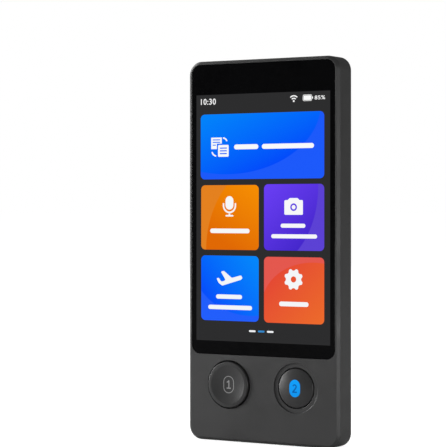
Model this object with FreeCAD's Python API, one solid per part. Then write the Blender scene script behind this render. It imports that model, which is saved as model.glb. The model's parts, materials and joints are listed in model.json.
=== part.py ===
import FreeCAD, Part
import math
import os

# Handheld voice translator: a touch screen above two talk buttons, in a slim snap-together case.
# Millimetres. +X is to the right seen from the front, the front faces -Y, and +Z is up along the body.
# The origin is the centre of the charging port's mouth, in the middle of the bottom face.
# A depth is a distance behind the front plane: 0 is the front face, and larger depths lie further back.

# How shapes are drawn: how far a cutter runs past its piece, and the flats that stand for small arcs
CUT_SPARE = 1.0
FLATS_BELOW_R = 3.1
CORNER_FLATS = 4
SCREW_SIDES = 8
HIDDEN_SIDES = 16
FLANGE_SIDES = 20

# Body
CHIN_H = 30.05
HOUSING_D = 9.95
CORNER_R = 4.75
FRONT_CHAMFER = 1.0
REAR_CHAMFER = 1.15
RIM_LAND = 0.35
FRONT_WALL = 2.0
BULKHEAD_T = 0.8
POCKET_WALL = 1.0

# Rear cover
COVER_GAP = 0.15
COVER_EDGE_T = 0.95
COVER_BEVEL_W = 1.2
COVER_RISE = 0.85
COVER_WALL = 1.2
COVER_RING_W = 2.2

# Snap fastening round the cover
CATCH_REACH = 0.9
CATCH_LENGTH = 6.0
CATCH_DEPTH = 2.6
HOOK_LENGTH = 3.6
HOOK_LEG_T = 0.8
HOOK_BARB = 0.55
HOOK_BARB_T = 0.75
HOOK_BARB_TIP = 0.25
HOOK_CLEARANCE = 0.1
WINDOW_INSET = 0.8
SEAT_RIB_T = 1.0
SIDE_CATCH_INSET = 13.0
CATCH_BELOW_KEYS = 8.0
END_CATCH_INSET = 8.3
UPPER_SEAT_RIBS = 3

# Cover glass
GLASS_W = 56.5
GLASS_H = 100.65
GLASS_T = 1.0
GLASS_R = 3.2
GLASS_TOP_BORDER = 1.3
GLASS_SIDE_LAND = 0.55
GLASS_GAP = 0.1
GLASS_SINK = 0.05
GLASS_EDGE_BREAK = 0.15
GLASS_TAPE_T = 0.15
GLASS_TAPE_INSET = 0.15

# Display behind the glass
VIEW_SIDE_BORDER = 1.8
VIEW_DROP = 10.5
VIEW_FOOT = 4.65
LCD_SIDE_BORDER = 0.9
LCD_BOTTOM_BORDER = 1.3
LCD_TOP_LEDGE = 4.0
LCD_CELL_T = 1.1
LCD_CLEARANCE = 0.2
BACKLIGHT_T = 1.3
BACKLIGHT_GAP = 0.05
BACKLIGHT_TOP_BORDER = 1.3
DISPLAY_FLEX_W = 10.0
DISPLAY_FLEX_ROOM = 1.6
DISPLAY_FLEX_LAP = 1.4

# Talk buttons
BUTTON_PITCH = 26.4
BUTTON_DROP = 10.35
BUTTON_TRAVEL = 0.5
LEFT_HOLE_D = 16.75
LEFT_CAP_D = 15.9
LEFT_RISE = 0.8
DISH_D = 13.3
DISH_DEPTH = 0.7
RIGHT_RECESS_D = 16.9
RIGHT_RECESS_DEPTH = 0.4
RIGHT_HOLE_D = 14.0
RIGHT_CAP_D = 13.4
RIGHT_EDGE_SINK = 0.2
DOME_RISE = 0.9
CAP_EDGE_CHAMFER = 0.2
CAP_WALL = 1.3
CAP_SKIRT_T = 1.0
CAP_FLANGE_REACH = 1.15
CAP_FLANGE_T = 0.7
CAP_FLANGE_GAP = 0.1
CAP_POST_D = 3.0
CAP_POST_LAP = 0.35
LENS_W = 4.2
LENS_H = 5.95
LENS_T = 0.8
LIGHT_HOLE_D = 1.3
LIGHT_HOLE_OFFSET = 2.25
TAB_W = 2.0
TAB_REACH = 1.0
GUIDE_T = 0.8
GUIDE_GAP = 0.2
GUIDE_DEPTH = 1.7

# Button board and its switches
BUTTON_BOARD_DEPTH = 4.6
BOARD_T = 0.8
BUTTON_BOARD_BOTTOM = 2.9
BUTTON_BOARD_TOP_GAP = 0.9
BOARD_EDGE_GAP = 0.4
BOARD_CORNER_R = 2.0
PORT_NOTCH_GAP = 0.25
SWITCH_W = 4.5
SWITCH_T = 1.0
SWITCH_PLUNGER_D = 2.0
SWITCH_BORE_GAP = 0.1
SWITCH_BORE_FLOOR = 0.1
PRESS_CLEARANCE = 0.1
PLUNGER_LAP = 0.35
LED_L = 1.6
LED_W = 0.8
LED_T = 0.6
LED_OFFSET = 3.3

# Side keys on the left wall
KEY_DROPS = (("power", 28.0, 9.0), ("volume_up", 42.0, 8.0), ("volume_down", 53.0, 8.0))
KEY_W = 2.4
KEY_RISE = 0.45
KEY_EDGE_CHAMFER = 0.22
KEY_TRAVEL = 0.35
KEY_SLOT_GAP = 0.12
KEY_SEAT_GAP = 0.1
KEY_FLANGE_T = 0.7
KEY_FLANGE_REACH = 0.6
KEY_FLANGE_SIDE_REACH = 0.2
KEY_NUB = 0.4
KEY_NUB_L = 2.4
KEY_BULKHEAD_GAP = 0.35
SIDE_SWITCH_L = 4.0
SIDE_SWITCH_W = 2.6
SIDE_SWITCH_T = 1.1
SIDE_PLUNGER_L = 1.7
SIDE_PLUNGER_W = 0.9
SIDE_FLEX_T = 0.15
BRACKET_T = 0.3
BRACKET_GAP = 0.05
BRACKET_OVERHANG = 3.0
FRAME_RIB_T = 0.7
FRAME_RIB_H = 2.6

# Charging port
PORT_W = 8.94
PORT_T = 3.26
PORT_L = 7.3
PORT_SHELL_T = 0.3
PORT_SINK = 0.4
PORT_OPENING_GAP = 0.12
PORT_BACK_T = 0.5
TONGUE_W = 6.7
TONGUE_T = 0.7
TONGUE_SINK = 1.9

# Main board, its screws and what stands on it
MAIN_BOARD_H = 32.5
MAIN_BOARD_TOP_GAP = 1.5
BOSS_H = 1.1
BOSS_D = 4.0
SCREW_SHANK_D = 1.2
SCREW_HEAD_D = 2.6
SCREW_HEAD_T = 0.7
SCREW_L = 2.2
SCREW_PILOT_GAP = 0.02
SCREW_TIP_GAP = 0.15
SCREW_HOLE_D = 1.6
SCREW_EDGE_INSET = 3.2
SCREW_TOP_INSET = 2.6
SCREW_MIDDLE_DROP = 16.6
SCREW_LOW_INSET = 2.9
BUTTON_SCREW_EDGE_INSET = 2.4
BUTTON_SCREW_LIFT = 9.1
BUTTON_SCREW_DROP = 4.3
SHIELD_T = 2.0
SHIELD_CORNER_R = 0.6
SHIELD_LID_LIP = 0.3
SHIELD_GAP = 1.3
SHIELD_LIFT = 3.0
PROCESSOR_SHIELD_H = 17.4
RADIO_SHIELD_H = 11.4
RADIO_SHIELD_LIFT = 1.8
RADIO_SHIELD_START = 6.6
RADIO_SHIELD_GAP = 3.9
CONNECTOR_T = 0.8
BATTERY_CONNECTOR_W = 6.0
BATTERY_CONNECTOR_H = 1.6
BATTERY_CONNECTOR_INSET = 6.0
BATTERY_CONNECTOR_LIFT = 0.5
LINK_CONNECTOR_H = 3.6
LINK_CONNECTOR_LIFT = 1.6
DISPLAY_CONNECTOR_H = 1.6
FLEX_T = 0.2

# Battery
BATTERY_SIDE_GAP = 0.65
BATTERY_SWELL_GAP = 1.0
BATTERY_LIFT = 4.3
BATTERY_TOP_GAP = 4.0
BATTERY_EDGE_R = 1.6
BATTERY_TAPE_T = 0.1
BATTERY_TAPE_INSET = 4.0
BATTERY_TERRACE_H = 2.6
BATTERY_TERRACE_INSET = 6.0
BATTERY_TERRACE_T = 2.2
BATTERY_FLEX_W = 5.0
FRAME_RIB_GAP = 0.6
LINK_FLEX_W = 1.9
LINK_FLEX_BOTTOM = 24.0

# Camera, flash and their window in the back
WINDOW_W = 42.7
WINDOW_H = 10.4
WINDOW_T = 0.75
WINDOW_SINK = 0.05
WINDOW_GAP = 0.1
WINDOW_DROP = 18.5
WINDOW_PAD_T = 0.4
WINDOW_PAD_BORDER = 0.6
WINDOW_PAD_R = 2.5
CAMERA_BODY_W = 8.4
CAMERA_BODY_T = 3.6
CAMERA_BARREL_D = 6.4
CAMERA_LENS_D = 3.5
CAMERA_LENS_RISE = 0.25
CAMERA_GAP = 0.3
FLASH_X = 9.1
FLASH_W = 3.2
FLASH_LED_W = 2.6
FLASH_LED_T = 0.8
FLASH_GAP = 0.1

# Microphones
MIC_HOLE_D = 1.0
REAR_MIC_X = 14.7
REAR_MIC_DROP = 11.3
BOTTOM_MIC_X = 13.2
MIC_L = 3.8
MIC_W = 3.0
MIC_T = 1.1
BOOT_BORDER = 0.5
REAR_BOOT_D = 2.4

# Speaker behind the grille
GRILLE_HOLE_D = 0.95
GRILLE_HOLE_SIDES = 5
GRILLE_PITCH = 1.625
GRILLE_COLUMNS = 25
GRILLE_FULL_ROWS = 4
GRILLE_TOP_ROW_Z = 24.65
SPEAKER_SIDE_MARGIN = 1.5
SPEAKER_END_MARGIN = 2.9
SPEAKER_CORNER_R = 2.0
SPEAKER_SCREW_GAP = 0.1
SPEAKER_GASKET_T = 0.6
SPEAKER_GASKET_W = 1.2
SPEAKER_MESH_T = 0.1
SPEAKER_CONE_SINK = 0.8

# Antenna
ANTENNA_W = 22.0
ANTENNA_H = 3.6
ANTENNA_T = 0.15
ANTENNA_SPRING_X = 9.0
ANTENNA_SPRING_W = 1.6
ANTENNA_SPRING_L = 2.4

# Places worked out from the sizes above
FRONT_Y = -(FRONT_CHAMFER + HOUSING_D - REAR_CHAMFER) / 2
BODY_W = GLASS_W + 2 * (GLASS_SIDE_LAND + FRONT_CHAMFER)
BODY_H = CHIN_H + GLASS_H + GLASS_TOP_BORDER
WALL = REAR_CHAMFER + RIM_LAND
INNER_X = BODY_W / 2 - WALL
INNER_TOP = BODY_H - WALL
COVER_SEAT = HOUSING_D - COVER_EDGE_T
COVER_BACK = HOUSING_D + COVER_RISE
COVER_INNER = COVER_BACK - COVER_WALL
GLASS_TOP = BODY_H - GLASS_TOP_BORDER
GLASS_BOTTOM = CHIN_H
GLASS_BACK = GLASS_SINK + GLASS_T
VIEW_TOP = GLASS_TOP - VIEW_DROP
VIEW_BOTTOM = GLASS_BOTTOM + VIEW_FOOT
LCD_HALF_W = GLASS_W / 2 - VIEW_SIDE_BORDER + LCD_SIDE_BORDER
LCD_TOP = VIEW_TOP + LCD_TOP_LEDGE
LCD_BOTTOM = VIEW_BOTTOM - LCD_BOTTOM_BORDER
LCD_BACK = GLASS_BACK + LCD_CELL_T
BACKLIGHT_TOP = VIEW_TOP + BACKLIGHT_TOP_BORDER
POCKET_DEPTH = LCD_BACK + BACKLIGHT_T + BACKLIGHT_GAP
POCKET_TOP = LCD_TOP + DISPLAY_FLEX_ROOM
POCKET_BOTTOM = LCD_BOTTOM - LCD_CLEARANCE
BULKHEAD_BACK = POCKET_DEPTH + BULKHEAD_T
BUTTON_BAY_TOP = POCKET_BOTTOM - POCKET_WALL
MAIN_BOARD_FRONT = BULKHEAD_BACK + BOSS_H
MAIN_BOARD_BACK = MAIN_BOARD_FRONT + BOARD_T
MAIN_BOARD_TOP = INNER_TOP - MAIN_BOARD_TOP_GAP
MAIN_BOARD_BOTTOM = MAIN_BOARD_TOP - MAIN_BOARD_H
BUTTON_BOARD_BACK = BUTTON_BOARD_DEPTH + BOARD_T
BUTTON_BOARD_TOP = BUTTON_BAY_TOP - BUTTON_BOARD_TOP_GAP
BOARD_HALF_W = INNER_X - CATCH_REACH - BOARD_EDGE_GAP
BUTTON_Z = CHIN_H - BUTTON_DROP
WINDOW_Z = BODY_H - WINDOW_DROP
REAR_MIC_Z = BODY_H - REAR_MIC_DROP
CAP_FLANGE_FRONT = FRONT_WALL + CAP_FLANGE_GAP
SWITCH_FRONT = BUTTON_BOARD_DEPTH - SWITCH_T
POST_END = SWITCH_FRONT - BUTTON_TRAVEL - PRESS_CLEARANCE
KEY_DEPTH = BULKHEAD_BACK + KEY_BULKHEAD_GAP + SIDE_SWITCH_W / 2
KEY_SPECS = [(name, BODY_H - drop, length) for name, drop, length in KEY_DROPS]
KEY_FLANGE_X = INNER_X - KEY_SEAT_GAP - KEY_FLANGE_T
KEY_NUB_X = KEY_FLANGE_X - KEY_NUB
SIDE_SWITCH_X = KEY_NUB_X - KEY_TRAVEL - PRESS_CLEARANCE
SIDE_FLEX_X = SIDE_SWITCH_X - SIDE_SWITCH_T
BRACKET_X = SIDE_FLEX_X - SIDE_FLEX_T
FRAME_RIB_X = BRACKET_X - BRACKET_T - BRACKET_GAP
BRACKET_TOP = max(z + length / 2 for _, z, length in KEY_SPECS) + BRACKET_OVERHANG
BRACKET_BOTTOM = min(z - length / 2 for _, z, length in KEY_SPECS) - BRACKET_OVERHANG
NOTCH_X = FRAME_RIB_X - FRAME_RIB_T - BOARD_EDGE_GAP
BATTERY_HALF_W = FRAME_RIB_X - FRAME_RIB_T - BATTERY_SIDE_GAP
BATTERY_FRONT = BULKHEAD_BACK + BATTERY_TAPE_T
BATTERY_BACK = COVER_INNER - BATTERY_SWELL_GAP
BATTERY_BOTTOM = BUTTON_BAY_TOP + BATTERY_LIFT
BATTERY_TOP = MAIN_BOARD_BOTTOM - BATTERY_TOP_GAP
BATTERY_CONNECTOR_X = -NOTCH_X + BATTERY_CONNECTOR_INSET
BATTERY_CONNECTOR_TOP = MAIN_BOARD_BOTTOM + BATTERY_CONNECTOR_LIFT + BATTERY_CONNECTOR_H
SPEAKER_FRONT = BUTTON_BOARD_BACK + SCREW_HEAD_T + SPEAKER_SCREW_GAP
SPEAKER_BACK = COVER_INNER - SPEAKER_MESH_T - SPEAKER_GASKET_T
SPEAKER_HALF_W = (GRILLE_COLUMNS - 1) * GRILLE_PITCH / 2 + SPEAKER_SIDE_MARGIN
SPEAKER_TOP = GRILLE_TOP_ROW_Z + GRILLE_PITCH + SPEAKER_END_MARGIN
SPEAKER_BOTTOM = GRILLE_TOP_ROW_Z - GRILLE_FULL_ROWS * GRILLE_PITCH - SPEAKER_END_MARGIN
WINDOW_FLOOR = COVER_BACK - WINDOW_SINK - WINDOW_T
CAMERA_FRONT = BULKHEAD_BACK + FLEX_T
BARREL_BACK = WINDOW_FLOOR - CAMERA_LENS_RISE - CAMERA_GAP / 2
MIC_DEPTH = (FRONT_WALL + BUTTON_BOARD_DEPTH) / 2
THIRD_CATCH_Z = BRACKET_BOTTOM - CATCH_BELOW_KEYS
TOP_CATCH_Z = BODY_H - SIDE_CATCH_INSET
SIDE_CATCHES = (SIDE_CATCH_INSET, (SIDE_CATCH_INSET + THIRD_CATCH_Z) / 2, THIRD_CATCH_Z, TOP_CATCH_Z)
MAIN_SCREWS = (
    (-BOARD_HALF_W + SCREW_EDGE_INSET, MAIN_BOARD_TOP - SCREW_TOP_INSET),
    (BOARD_HALF_W - SCREW_EDGE_INSET, MAIN_BOARD_TOP - SCREW_TOP_INSET),
    (BOARD_HALF_W - SCREW_EDGE_INSET, MAIN_BOARD_TOP - SCREW_MIDDLE_DROP),
    (0, MAIN_BOARD_BOTTOM + SCREW_LOW_INSET),
)
BUTTON_SCREWS = (
    (-BOARD_HALF_W + BUTTON_SCREW_EDGE_INSET, BUTTON_BOARD_BOTTOM + BUTTON_SCREW_LIFT),
    (BOARD_HALF_W - BUTTON_SCREW_EDGE_INSET, BUTTON_BOARD_BOTTOM + BUTTON_SCREW_LIFT),
    (0, BUTTON_BOARD_TOP - BUTTON_SCREW_DROP),
)


def vector(x, depth, z):
    """Point at x and z, a depth behind the front plane."""
    return FreeCAD.Vector(x, FRONT_Y + depth, z)


def flatted_wire(low, high, radius, place):
    """Rectangle from low to high whose small round corners are drawn with a few flats each."""
    (u0, v0), (u1, v1) = low, high
    r = min(radius, (u1 - u0) / 2, (v1 - v0) / 2)
    points = []
    for index, (u, v) in enumerate(((u1 - r, v0 + r), (u1 - r, v1 - r), (u0 + r, v1 - r), (u0 + r, v0 + r))):
        for step in range(CORNER_FLATS + 1):
            angle = math.pi / 2 * (index - 1 + step / CORNER_FLATS)
            point = place(u + r * math.cos(angle), v + r * math.sin(angle))
            if not points or min(point.distanceToPoint(points[0]), point.distanceToPoint(points[-1])) > 1e-6:
                points.append(point)
    return Part.makePolygon(points + points[:1])


def rounded_wire(low, high, radius, place):
    """Rectangle from low to high, two plane coordinates each, with round corners; place makes the points."""
    (u0, v0), (u1, v1) = low, high
    r = min(radius, (u1 - u0) / 2, (v1 - v0) / 2)
    inset = r * (1 - math.sqrt(0.5))
    corners = (
        ((u1 - r, v0), (u1 - inset, v0 + inset), (u1, v0 + r)),
        ((u1, v1 - r), (u1 - inset, v1 - inset), (u1 - r, v1)),
        ((u0 + r, v1), (u0 + inset, v1 - inset), (u0, v1 - r)),
        ((u0, v0 + r), (u0 + inset, v0 + inset), (u0 + r, v0)),
    )
    edges = []
    for index, (start, middle, end) in enumerate(corners):
        if r > 0:
            edges.append(Part.Arc(place(*start), place(*middle), place(*end)).toShape())
        following = corners[(index + 1) % 4][0]
        if math.dist(end, following) > 1e-6:
            edges.append(Part.makeLine(place(*end), place(*following)))
    return Part.Wire(edges)


def cornered_wire(low, high, radius, place):
    """Rectangle with round corners, which are true arcs where they are large enough to matter."""
    if 0 < radius < FLATS_BELOW_R:
        return flatted_wire(low, high, radius, place)
    return rounded_wire(low, high, radius, place)


def slab(x0, x1, z0, z1, front, back, radius=0.0):
    """Block with its face in the XZ plane, from one depth to another, with round corners."""
    wire = cornered_wire((x0, z0), (x1, z1), radius, lambda x, z: vector(x, front, z))
    return Part.Face(wire).extrude(FreeCAD.Vector(0, back - front, 0))


def side_slab(x0, x1, z0, z1, front, back, radius=0.0):
    """Block with round corners seen from the side, along X."""
    wire = cornered_wire((front, z0), (back, z1), radius, lambda depth, z: vector(x0, depth, z))
    return Part.Face(wire).extrude(FreeCAD.Vector(x1 - x0, 0, 0))


def end_slab(x0, x1, z0, z1, front, back, radius=0.0):
    """Block with round corners seen from above, along Z."""
    wire = cornered_wire((x0, front), (x1, back), radius, lambda x, depth: vector(x, depth, z0))
    return Part.Face(wire).extrude(FreeCAD.Vector(0, 0, z1 - z0))


def disc(x, z, diameter, front, back):
    """Cylinder from one depth to another."""
    return Part.makeCylinder(diameter / 2, back - front, vector(x, front, z), FreeCAD.Vector(0, 1, 0))


def column(x, z, diameter, sides, front, back):
    """Many-sided column for the small round pieces and holes that repeat, from one depth to another."""
    points = []
    for index in range(sides + 1):
        angle = 2 * math.pi * (index + 0.5) / sides
        points.append(vector(x + diameter / 2 * math.cos(angle), front, z + diameter / 2 * math.sin(angle)))
    return Part.Face(Part.makePolygon(points)).extrude(FreeCAD.Vector(0, back - front, 0))


def centred(x, z, width, height, front, back, radius=0.0):
    """Slab given by its centre and size."""
    return slab(x - width / 2, x + width / 2, z - height / 2, z + height / 2, front, back, radius)


def joined(shapes):
    """One shape fused from several, without the seams between them."""
    return shapes[0].fuse(shapes[1:]).removeSplitter()


def chamfered(shape, depth, leg):
    """Shape with a 45-degree chamfer on every edge that lies at one depth."""
    y = FRONT_Y + depth
    edges = [edge for edge in shape.Edges if all(abs(vertex.Y - y) < 1e-6 for vertex in edge.Vertexes)]
    return shape.makeChamfer(leg, edges)


def ribbon(points, x0, x1):
    """Flat flex of one thickness that follows points of depth and height, between two x."""
    path = Part.makePolygon([vector(x0, depth, z) for depth, z in points])
    strip = path.makeOffset2D(FLEX_T, 0, True, True, False)
    return strip.extrude(FreeCAD.Vector(x1 - x0, 0, 0))


def turned(profile, x, z):
    """Solid made by turning a profile's corners about the Y axis, centred at x and z."""
    face = Part.Face(Part.makePolygon(list(profile) + [profile[0]]))
    solid = face.revolve(FreeCAD.Vector(0, 0, 0), FreeCAD.Vector(0, 1, 0), 360)
    solid.translate(FreeCAD.Vector(x, 0, z))
    return solid


def snap_stations():
    """Places of the cover's snaps as x, z and the turn from the right wall to the wall that holds them."""
    stations = [(INNER_X, z, 0.0) for z in SIDE_CATCHES]
    stations += [(-INNER_X, z, 180.0) for z in SIDE_CATCHES]
    for x in (-INNER_X + END_CATCH_INSET, INNER_X - END_CATCH_INSET):
        stations.append((x, WALL, 90.0))
        stations.append((x, INNER_TOP, -90.0))
    return stations


def stationed(shape, station):
    """Copy of a shape drawn at the right wall's inner face, moved to a snap station."""
    x, z, turn = station
    copy = shape.copy()
    copy.rotate(FreeCAD.Vector(0, 0, 0), FreeCAD.Vector(0, 1, 0), turn)
    copy.translate(FreeCAD.Vector(x, 0, z))
    return copy


def catch_block():
    """Block on the wall that carries the cover's edge, before its window is cut."""
    half = CATCH_LENGTH / 2
    return slab(-CATCH_REACH, WALL / 2, -half, half, COVER_SEAT - CATCH_DEPTH, COVER_SEAT)


def catch_window():
    """Pocket through a catch block, where the hook's barb snaps in."""
    half = HOOK_LENGTH / 2 + HOOK_CLEARANCE
    front = COVER_SEAT - WINDOW_INSET - HOOK_BARB_T - 2 * HOOK_CLEARANCE
    return slab(-CATCH_REACH - CUT_SPARE, 0, -half, half, front, COVER_SEAT - WINDOW_INSET)


def cover_hook():
    """Hook on the cover's inner face: a flexible leg with a barb that points at the wall."""
    leg_out = -CATCH_REACH - HOOK_CLEARANCE
    leg_in = leg_out - HOOK_LEG_T
    barb_back = COVER_SEAT - WINDOW_INSET - HOOK_CLEARANCE
    barb_front = barb_back - HOOK_BARB_T
    profile = (
        (leg_in, COVER_SEAT + COVER_EDGE_T / 2),
        (leg_in, barb_front),
        (leg_out, barb_front),
        (leg_out + HOOK_BARB, barb_back - HOOK_BARB_TIP),
        (leg_out + HOOK_BARB, barb_back),
        (leg_out, barb_back),
        (leg_out, COVER_SEAT + COVER_EDGE_T / 2),
    )
    bottom = -HOOK_LENGTH / 2
    points = [vector(x, depth, bottom) for x, depth in profile]
    face = Part.Face(Part.makePolygon(points + points[:1]))
    return face.extrude(FreeCAD.Vector(0, 0, HOOK_LENGTH))


def screw_boss(x, z, base, top):
    """Post for a board screw, from the wall at base to the board at top."""
    return column(x, z, BOSS_D, SCREW_SIDES, base - BULKHEAD_T / 2, top)


def screw_pilot(x, z, top):
    """Hole for a screw's shank in a boss, drilled from the board's side."""
    depth = SCREW_L - BOARD_T + SCREW_TIP_GAP
    return column(x, z, SCREW_SHANK_D + 2 * SCREW_PILOT_GAP, SCREW_SIDES, top - depth, top + BOARD_T)


def key_slot(z, length):
    """Opening in the left wall for a side key, with true round ends."""
    half_l = length / 2 + KEY_SLOT_GAP
    half_w = KEY_W / 2 + KEY_SLOT_GAP
    low, high = (KEY_DEPTH - half_w, z - half_l), (KEY_DEPTH + half_w, z + half_l)
    outside, inside = -BODY_W / 2 - CUT_SPARE, -INNER_X + CUT_SPARE
    wire = rounded_wire(low, high, half_w, lambda depth, up: vector(outside, depth, up))
    return Part.Face(wire).extrude(FreeCAD.Vector(inside - outside, 0, 0))


def port_opening():
    """Opening in the bottom wall round the charging port's shell, with true round ends."""
    half_w = PORT_W / 2 + PORT_OPENING_GAP
    half_t = PORT_T / 2 + PORT_OPENING_GAP
    low, high = (-half_w, -FRONT_Y - half_t), (half_w, -FRONT_Y + half_t)
    wire = rounded_wire(low, high, half_t, lambda x, depth: vector(x, depth, -CUT_SPARE))
    return Part.Face(wire).extrude(FreeCAD.Vector(0, 0, WALL + 2 * CUT_SPARE))


def button_guides(x, flange_r):
    """Two ribs behind the front wall that keep a cap's tab, and so the cap, from turning."""
    inner = TAB_W / 2 + GUIDE_GAP
    z0 = BUTTON_Z + flange_r + GUIDE_GAP
    z1 = BUTTON_Z + flange_r + TAB_REACH + GUIDE_GAP
    ribs = []
    for low in (x - inner - GUIDE_T, x + inner):
        ribs.append(slab(low, low + GUIDE_T, z0, z1, FRONT_WALL / 2, FRONT_WALL + GUIDE_DEPTH))
    return ribs


def housing_outside():
    """Solid block of the case with its chamfered front and rear edges."""
    block = slab(-BODY_W / 2, BODY_W / 2, 0, BODY_H, 0, HOUSING_D, CORNER_R)
    block = chamfered(block, 0, FRONT_CHAMFER)
    return chamfered(block, HOUSING_D, REAR_CHAMFER)


def housing_hollows():
    """What is taken out of the block: rear bay, button bay, top relief, glass recess and display pocket."""
    inner_r = CORNER_R - WALL
    open_back = HOUSING_D + CUT_SPARE
    glass_half = GLASS_W / 2 + GLASS_GAP
    pocket_half = LCD_HALF_W + LCD_CLEARANCE
    recess_back = GLASS_BACK + GLASS_TAPE_T
    slot_half = DISPLAY_FLEX_W / 2 + LCD_CLEARANCE
    ahead = -CUT_SPARE
    through = BULKHEAD_BACK + CUT_SPARE
    return [
        slab(-INNER_X, INNER_X, WALL, INNER_TOP, BULKHEAD_BACK, open_back, inner_r),
        slab(-INNER_X, INNER_X, WALL, BUTTON_BAY_TOP, FRONT_WALL, open_back, inner_r),
        slab(-INNER_X, INNER_X, POCKET_TOP + POCKET_WALL, INNER_TOP, FRONT_WALL, open_back, inner_r),
        slab(-glass_half, glass_half, GLASS_BOTTOM - GLASS_GAP, GLASS_TOP + GLASS_GAP, ahead, recess_back,
             GLASS_R + GLASS_GAP),
        slab(-pocket_half, pocket_half, POCKET_BOTTOM, POCKET_TOP, ahead, POCKET_DEPTH),
        slab(-slot_half, slot_half, LCD_TOP + LCD_CLEARANCE, POCKET_TOP, ahead, through),
    ]


def battery_frame():
    """Low ribs on the bulkhead beside and below the battery; the left one also backs the key bracket."""
    z0 = BATTERY_BOTTOM - FRAME_RIB_GAP - FRAME_RIB_T
    top = BULKHEAD_BACK + FRAME_RIB_H
    base = BULKHEAD_BACK - BULKHEAD_T / 2
    inner = FRAME_RIB_X - FRAME_RIB_T
    return [
        slab(-FRAME_RIB_X, -inner, z0, BRACKET_TOP, base, top),
        slab(inner, FRAME_RIB_X, z0, BATTERY_TOP, base, top),
        slab(-FRAME_RIB_X, FRAME_RIB_X, z0, z0 + FRAME_RIB_T, base, top),
    ]


def seat_rib_heights():
    """Heights of the ribs between the catch blocks: the lower ones on both walls, the upper on the right."""
    lower = [(low + high) / 2 for low, high in zip(SIDE_CATCHES[:2], SIDE_CATCHES[1:3])]
    spacing = (TOP_CATCH_Z - THIRD_CATCH_Z) / (UPPER_SEAT_RIBS + 1)
    upper = [THIRD_CATCH_Z + (index + 1) * spacing for index in range(UPPER_SEAT_RIBS)]
    return lower, upper


def seat_ribs():
    """Ribs on the side walls that carry the cover's edge between the catch blocks."""
    lower, upper = seat_rib_heights()
    ribs = []
    for side, heights in ((1, lower + upper), (-1, lower)):
        low, high = sorted((side * (INNER_X - CATCH_REACH), side * (INNER_X + WALL / 2)))
        for z in heights:
            base = (BULKHEAD_BACK if z > BUTTON_BAY_TOP else FRONT_WALL) - BULKHEAD_T / 2
            ribs.append(slab(low, high, z - SEAT_RIB_T / 2, z + SEAT_RIB_T / 2, base, COVER_SEAT))
    return ribs


def button_openings():
    """Round openings for the two caps, with the shallow dish round the right one."""
    left, right = -BUTTON_PITCH / 2, BUTTON_PITCH / 2
    return [
        disc(left, BUTTON_Z, LEFT_HOLE_D, -CUT_SPARE, FRONT_WALL + CUT_SPARE),
        disc(right, BUTTON_Z, RIGHT_RECESS_D, -CUT_SPARE, RIGHT_RECESS_DEPTH),
        disc(right, BUTTON_Z, RIGHT_HOLE_D, -CUT_SPARE, FRONT_WALL + CUT_SPARE),
    ]


def front_housing():
    """Moulded housing: front face, four sides, display pocket, bulkhead, bosses, ribs and catches."""
    body = housing_outside().cut(housing_hollows())
    additions = [stationed(catch_block(), station) for station in snap_stations()]
    additions += seat_ribs() + battery_frame()
    for x, z in MAIN_SCREWS:
        additions.append(screw_boss(x, z, BULKHEAD_BACK, MAIN_BOARD_FRONT))
    for x, z in BUTTON_SCREWS:
        additions.append(screw_boss(x, z, FRONT_WALL, BUTTON_BOARD_DEPTH))
    for x, _, flange_r in button_places():
        additions += button_guides(x, flange_r)
    body = joined([body] + additions)
    cuts = [stationed(catch_window(), station) for station in snap_stations()]
    cuts += [screw_pilot(x, z, MAIN_BOARD_FRONT) for x, z in MAIN_SCREWS]
    cuts += [screw_pilot(x, z, BUTTON_BOARD_DEPTH) for x, z in BUTTON_SCREWS]
    cuts += [key_slot(z, length) for _, z, length in KEY_SPECS]
    cuts.append(port_opening())
    cuts += button_openings()
    cuts.append(mic_channel(WALL + CUT_SPARE))
    return body.cut(cuts)


def mic_channel(top):
    """Round sound channel from below the bottom face up to a height, for the main microphone."""
    foot = vector(BOTTOM_MIC_X, MIC_DEPTH, -CUT_SPARE)
    return Part.makeCylinder(MIC_HOLE_D / 2, top + CUT_SPARE, foot)


def cover_outline(inset, depth):
    """Outline of the rear cover at a depth, drawn in from its edge by an inset."""
    x = INNER_X - COVER_GAP - inset
    z0 = WALL + COVER_GAP + inset
    z1 = INNER_TOP - COVER_GAP - inset
    radius = CORNER_R - WALL - COVER_GAP - inset
    return rounded_wire((-x, z0), (x, z1), radius, lambda u, v: vector(u, depth, v))


def grille_holes():
    """Centres of the grille's holes: full rows, a shorter last row and two holes at each upper end."""
    half = (GRILLE_COLUMNS - 1) / 2
    columns = [(index - half) * GRILLE_PITCH for index in range(GRILLE_COLUMNS)]
    holes = []
    for row in range(GRILLE_FULL_ROWS):
        holes += [(x, GRILLE_TOP_ROW_Z - row * GRILLE_PITCH) for x in columns]
    holes += [(x, GRILLE_TOP_ROW_Z - GRILLE_FULL_ROWS * GRILLE_PITCH) for x in columns[1:-1]]
    ends = columns[1:3] + columns[-3:-1]
    holes += [(x, GRILLE_TOP_ROW_Z + GRILLE_PITCH) for x in ends]
    return holes


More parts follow.
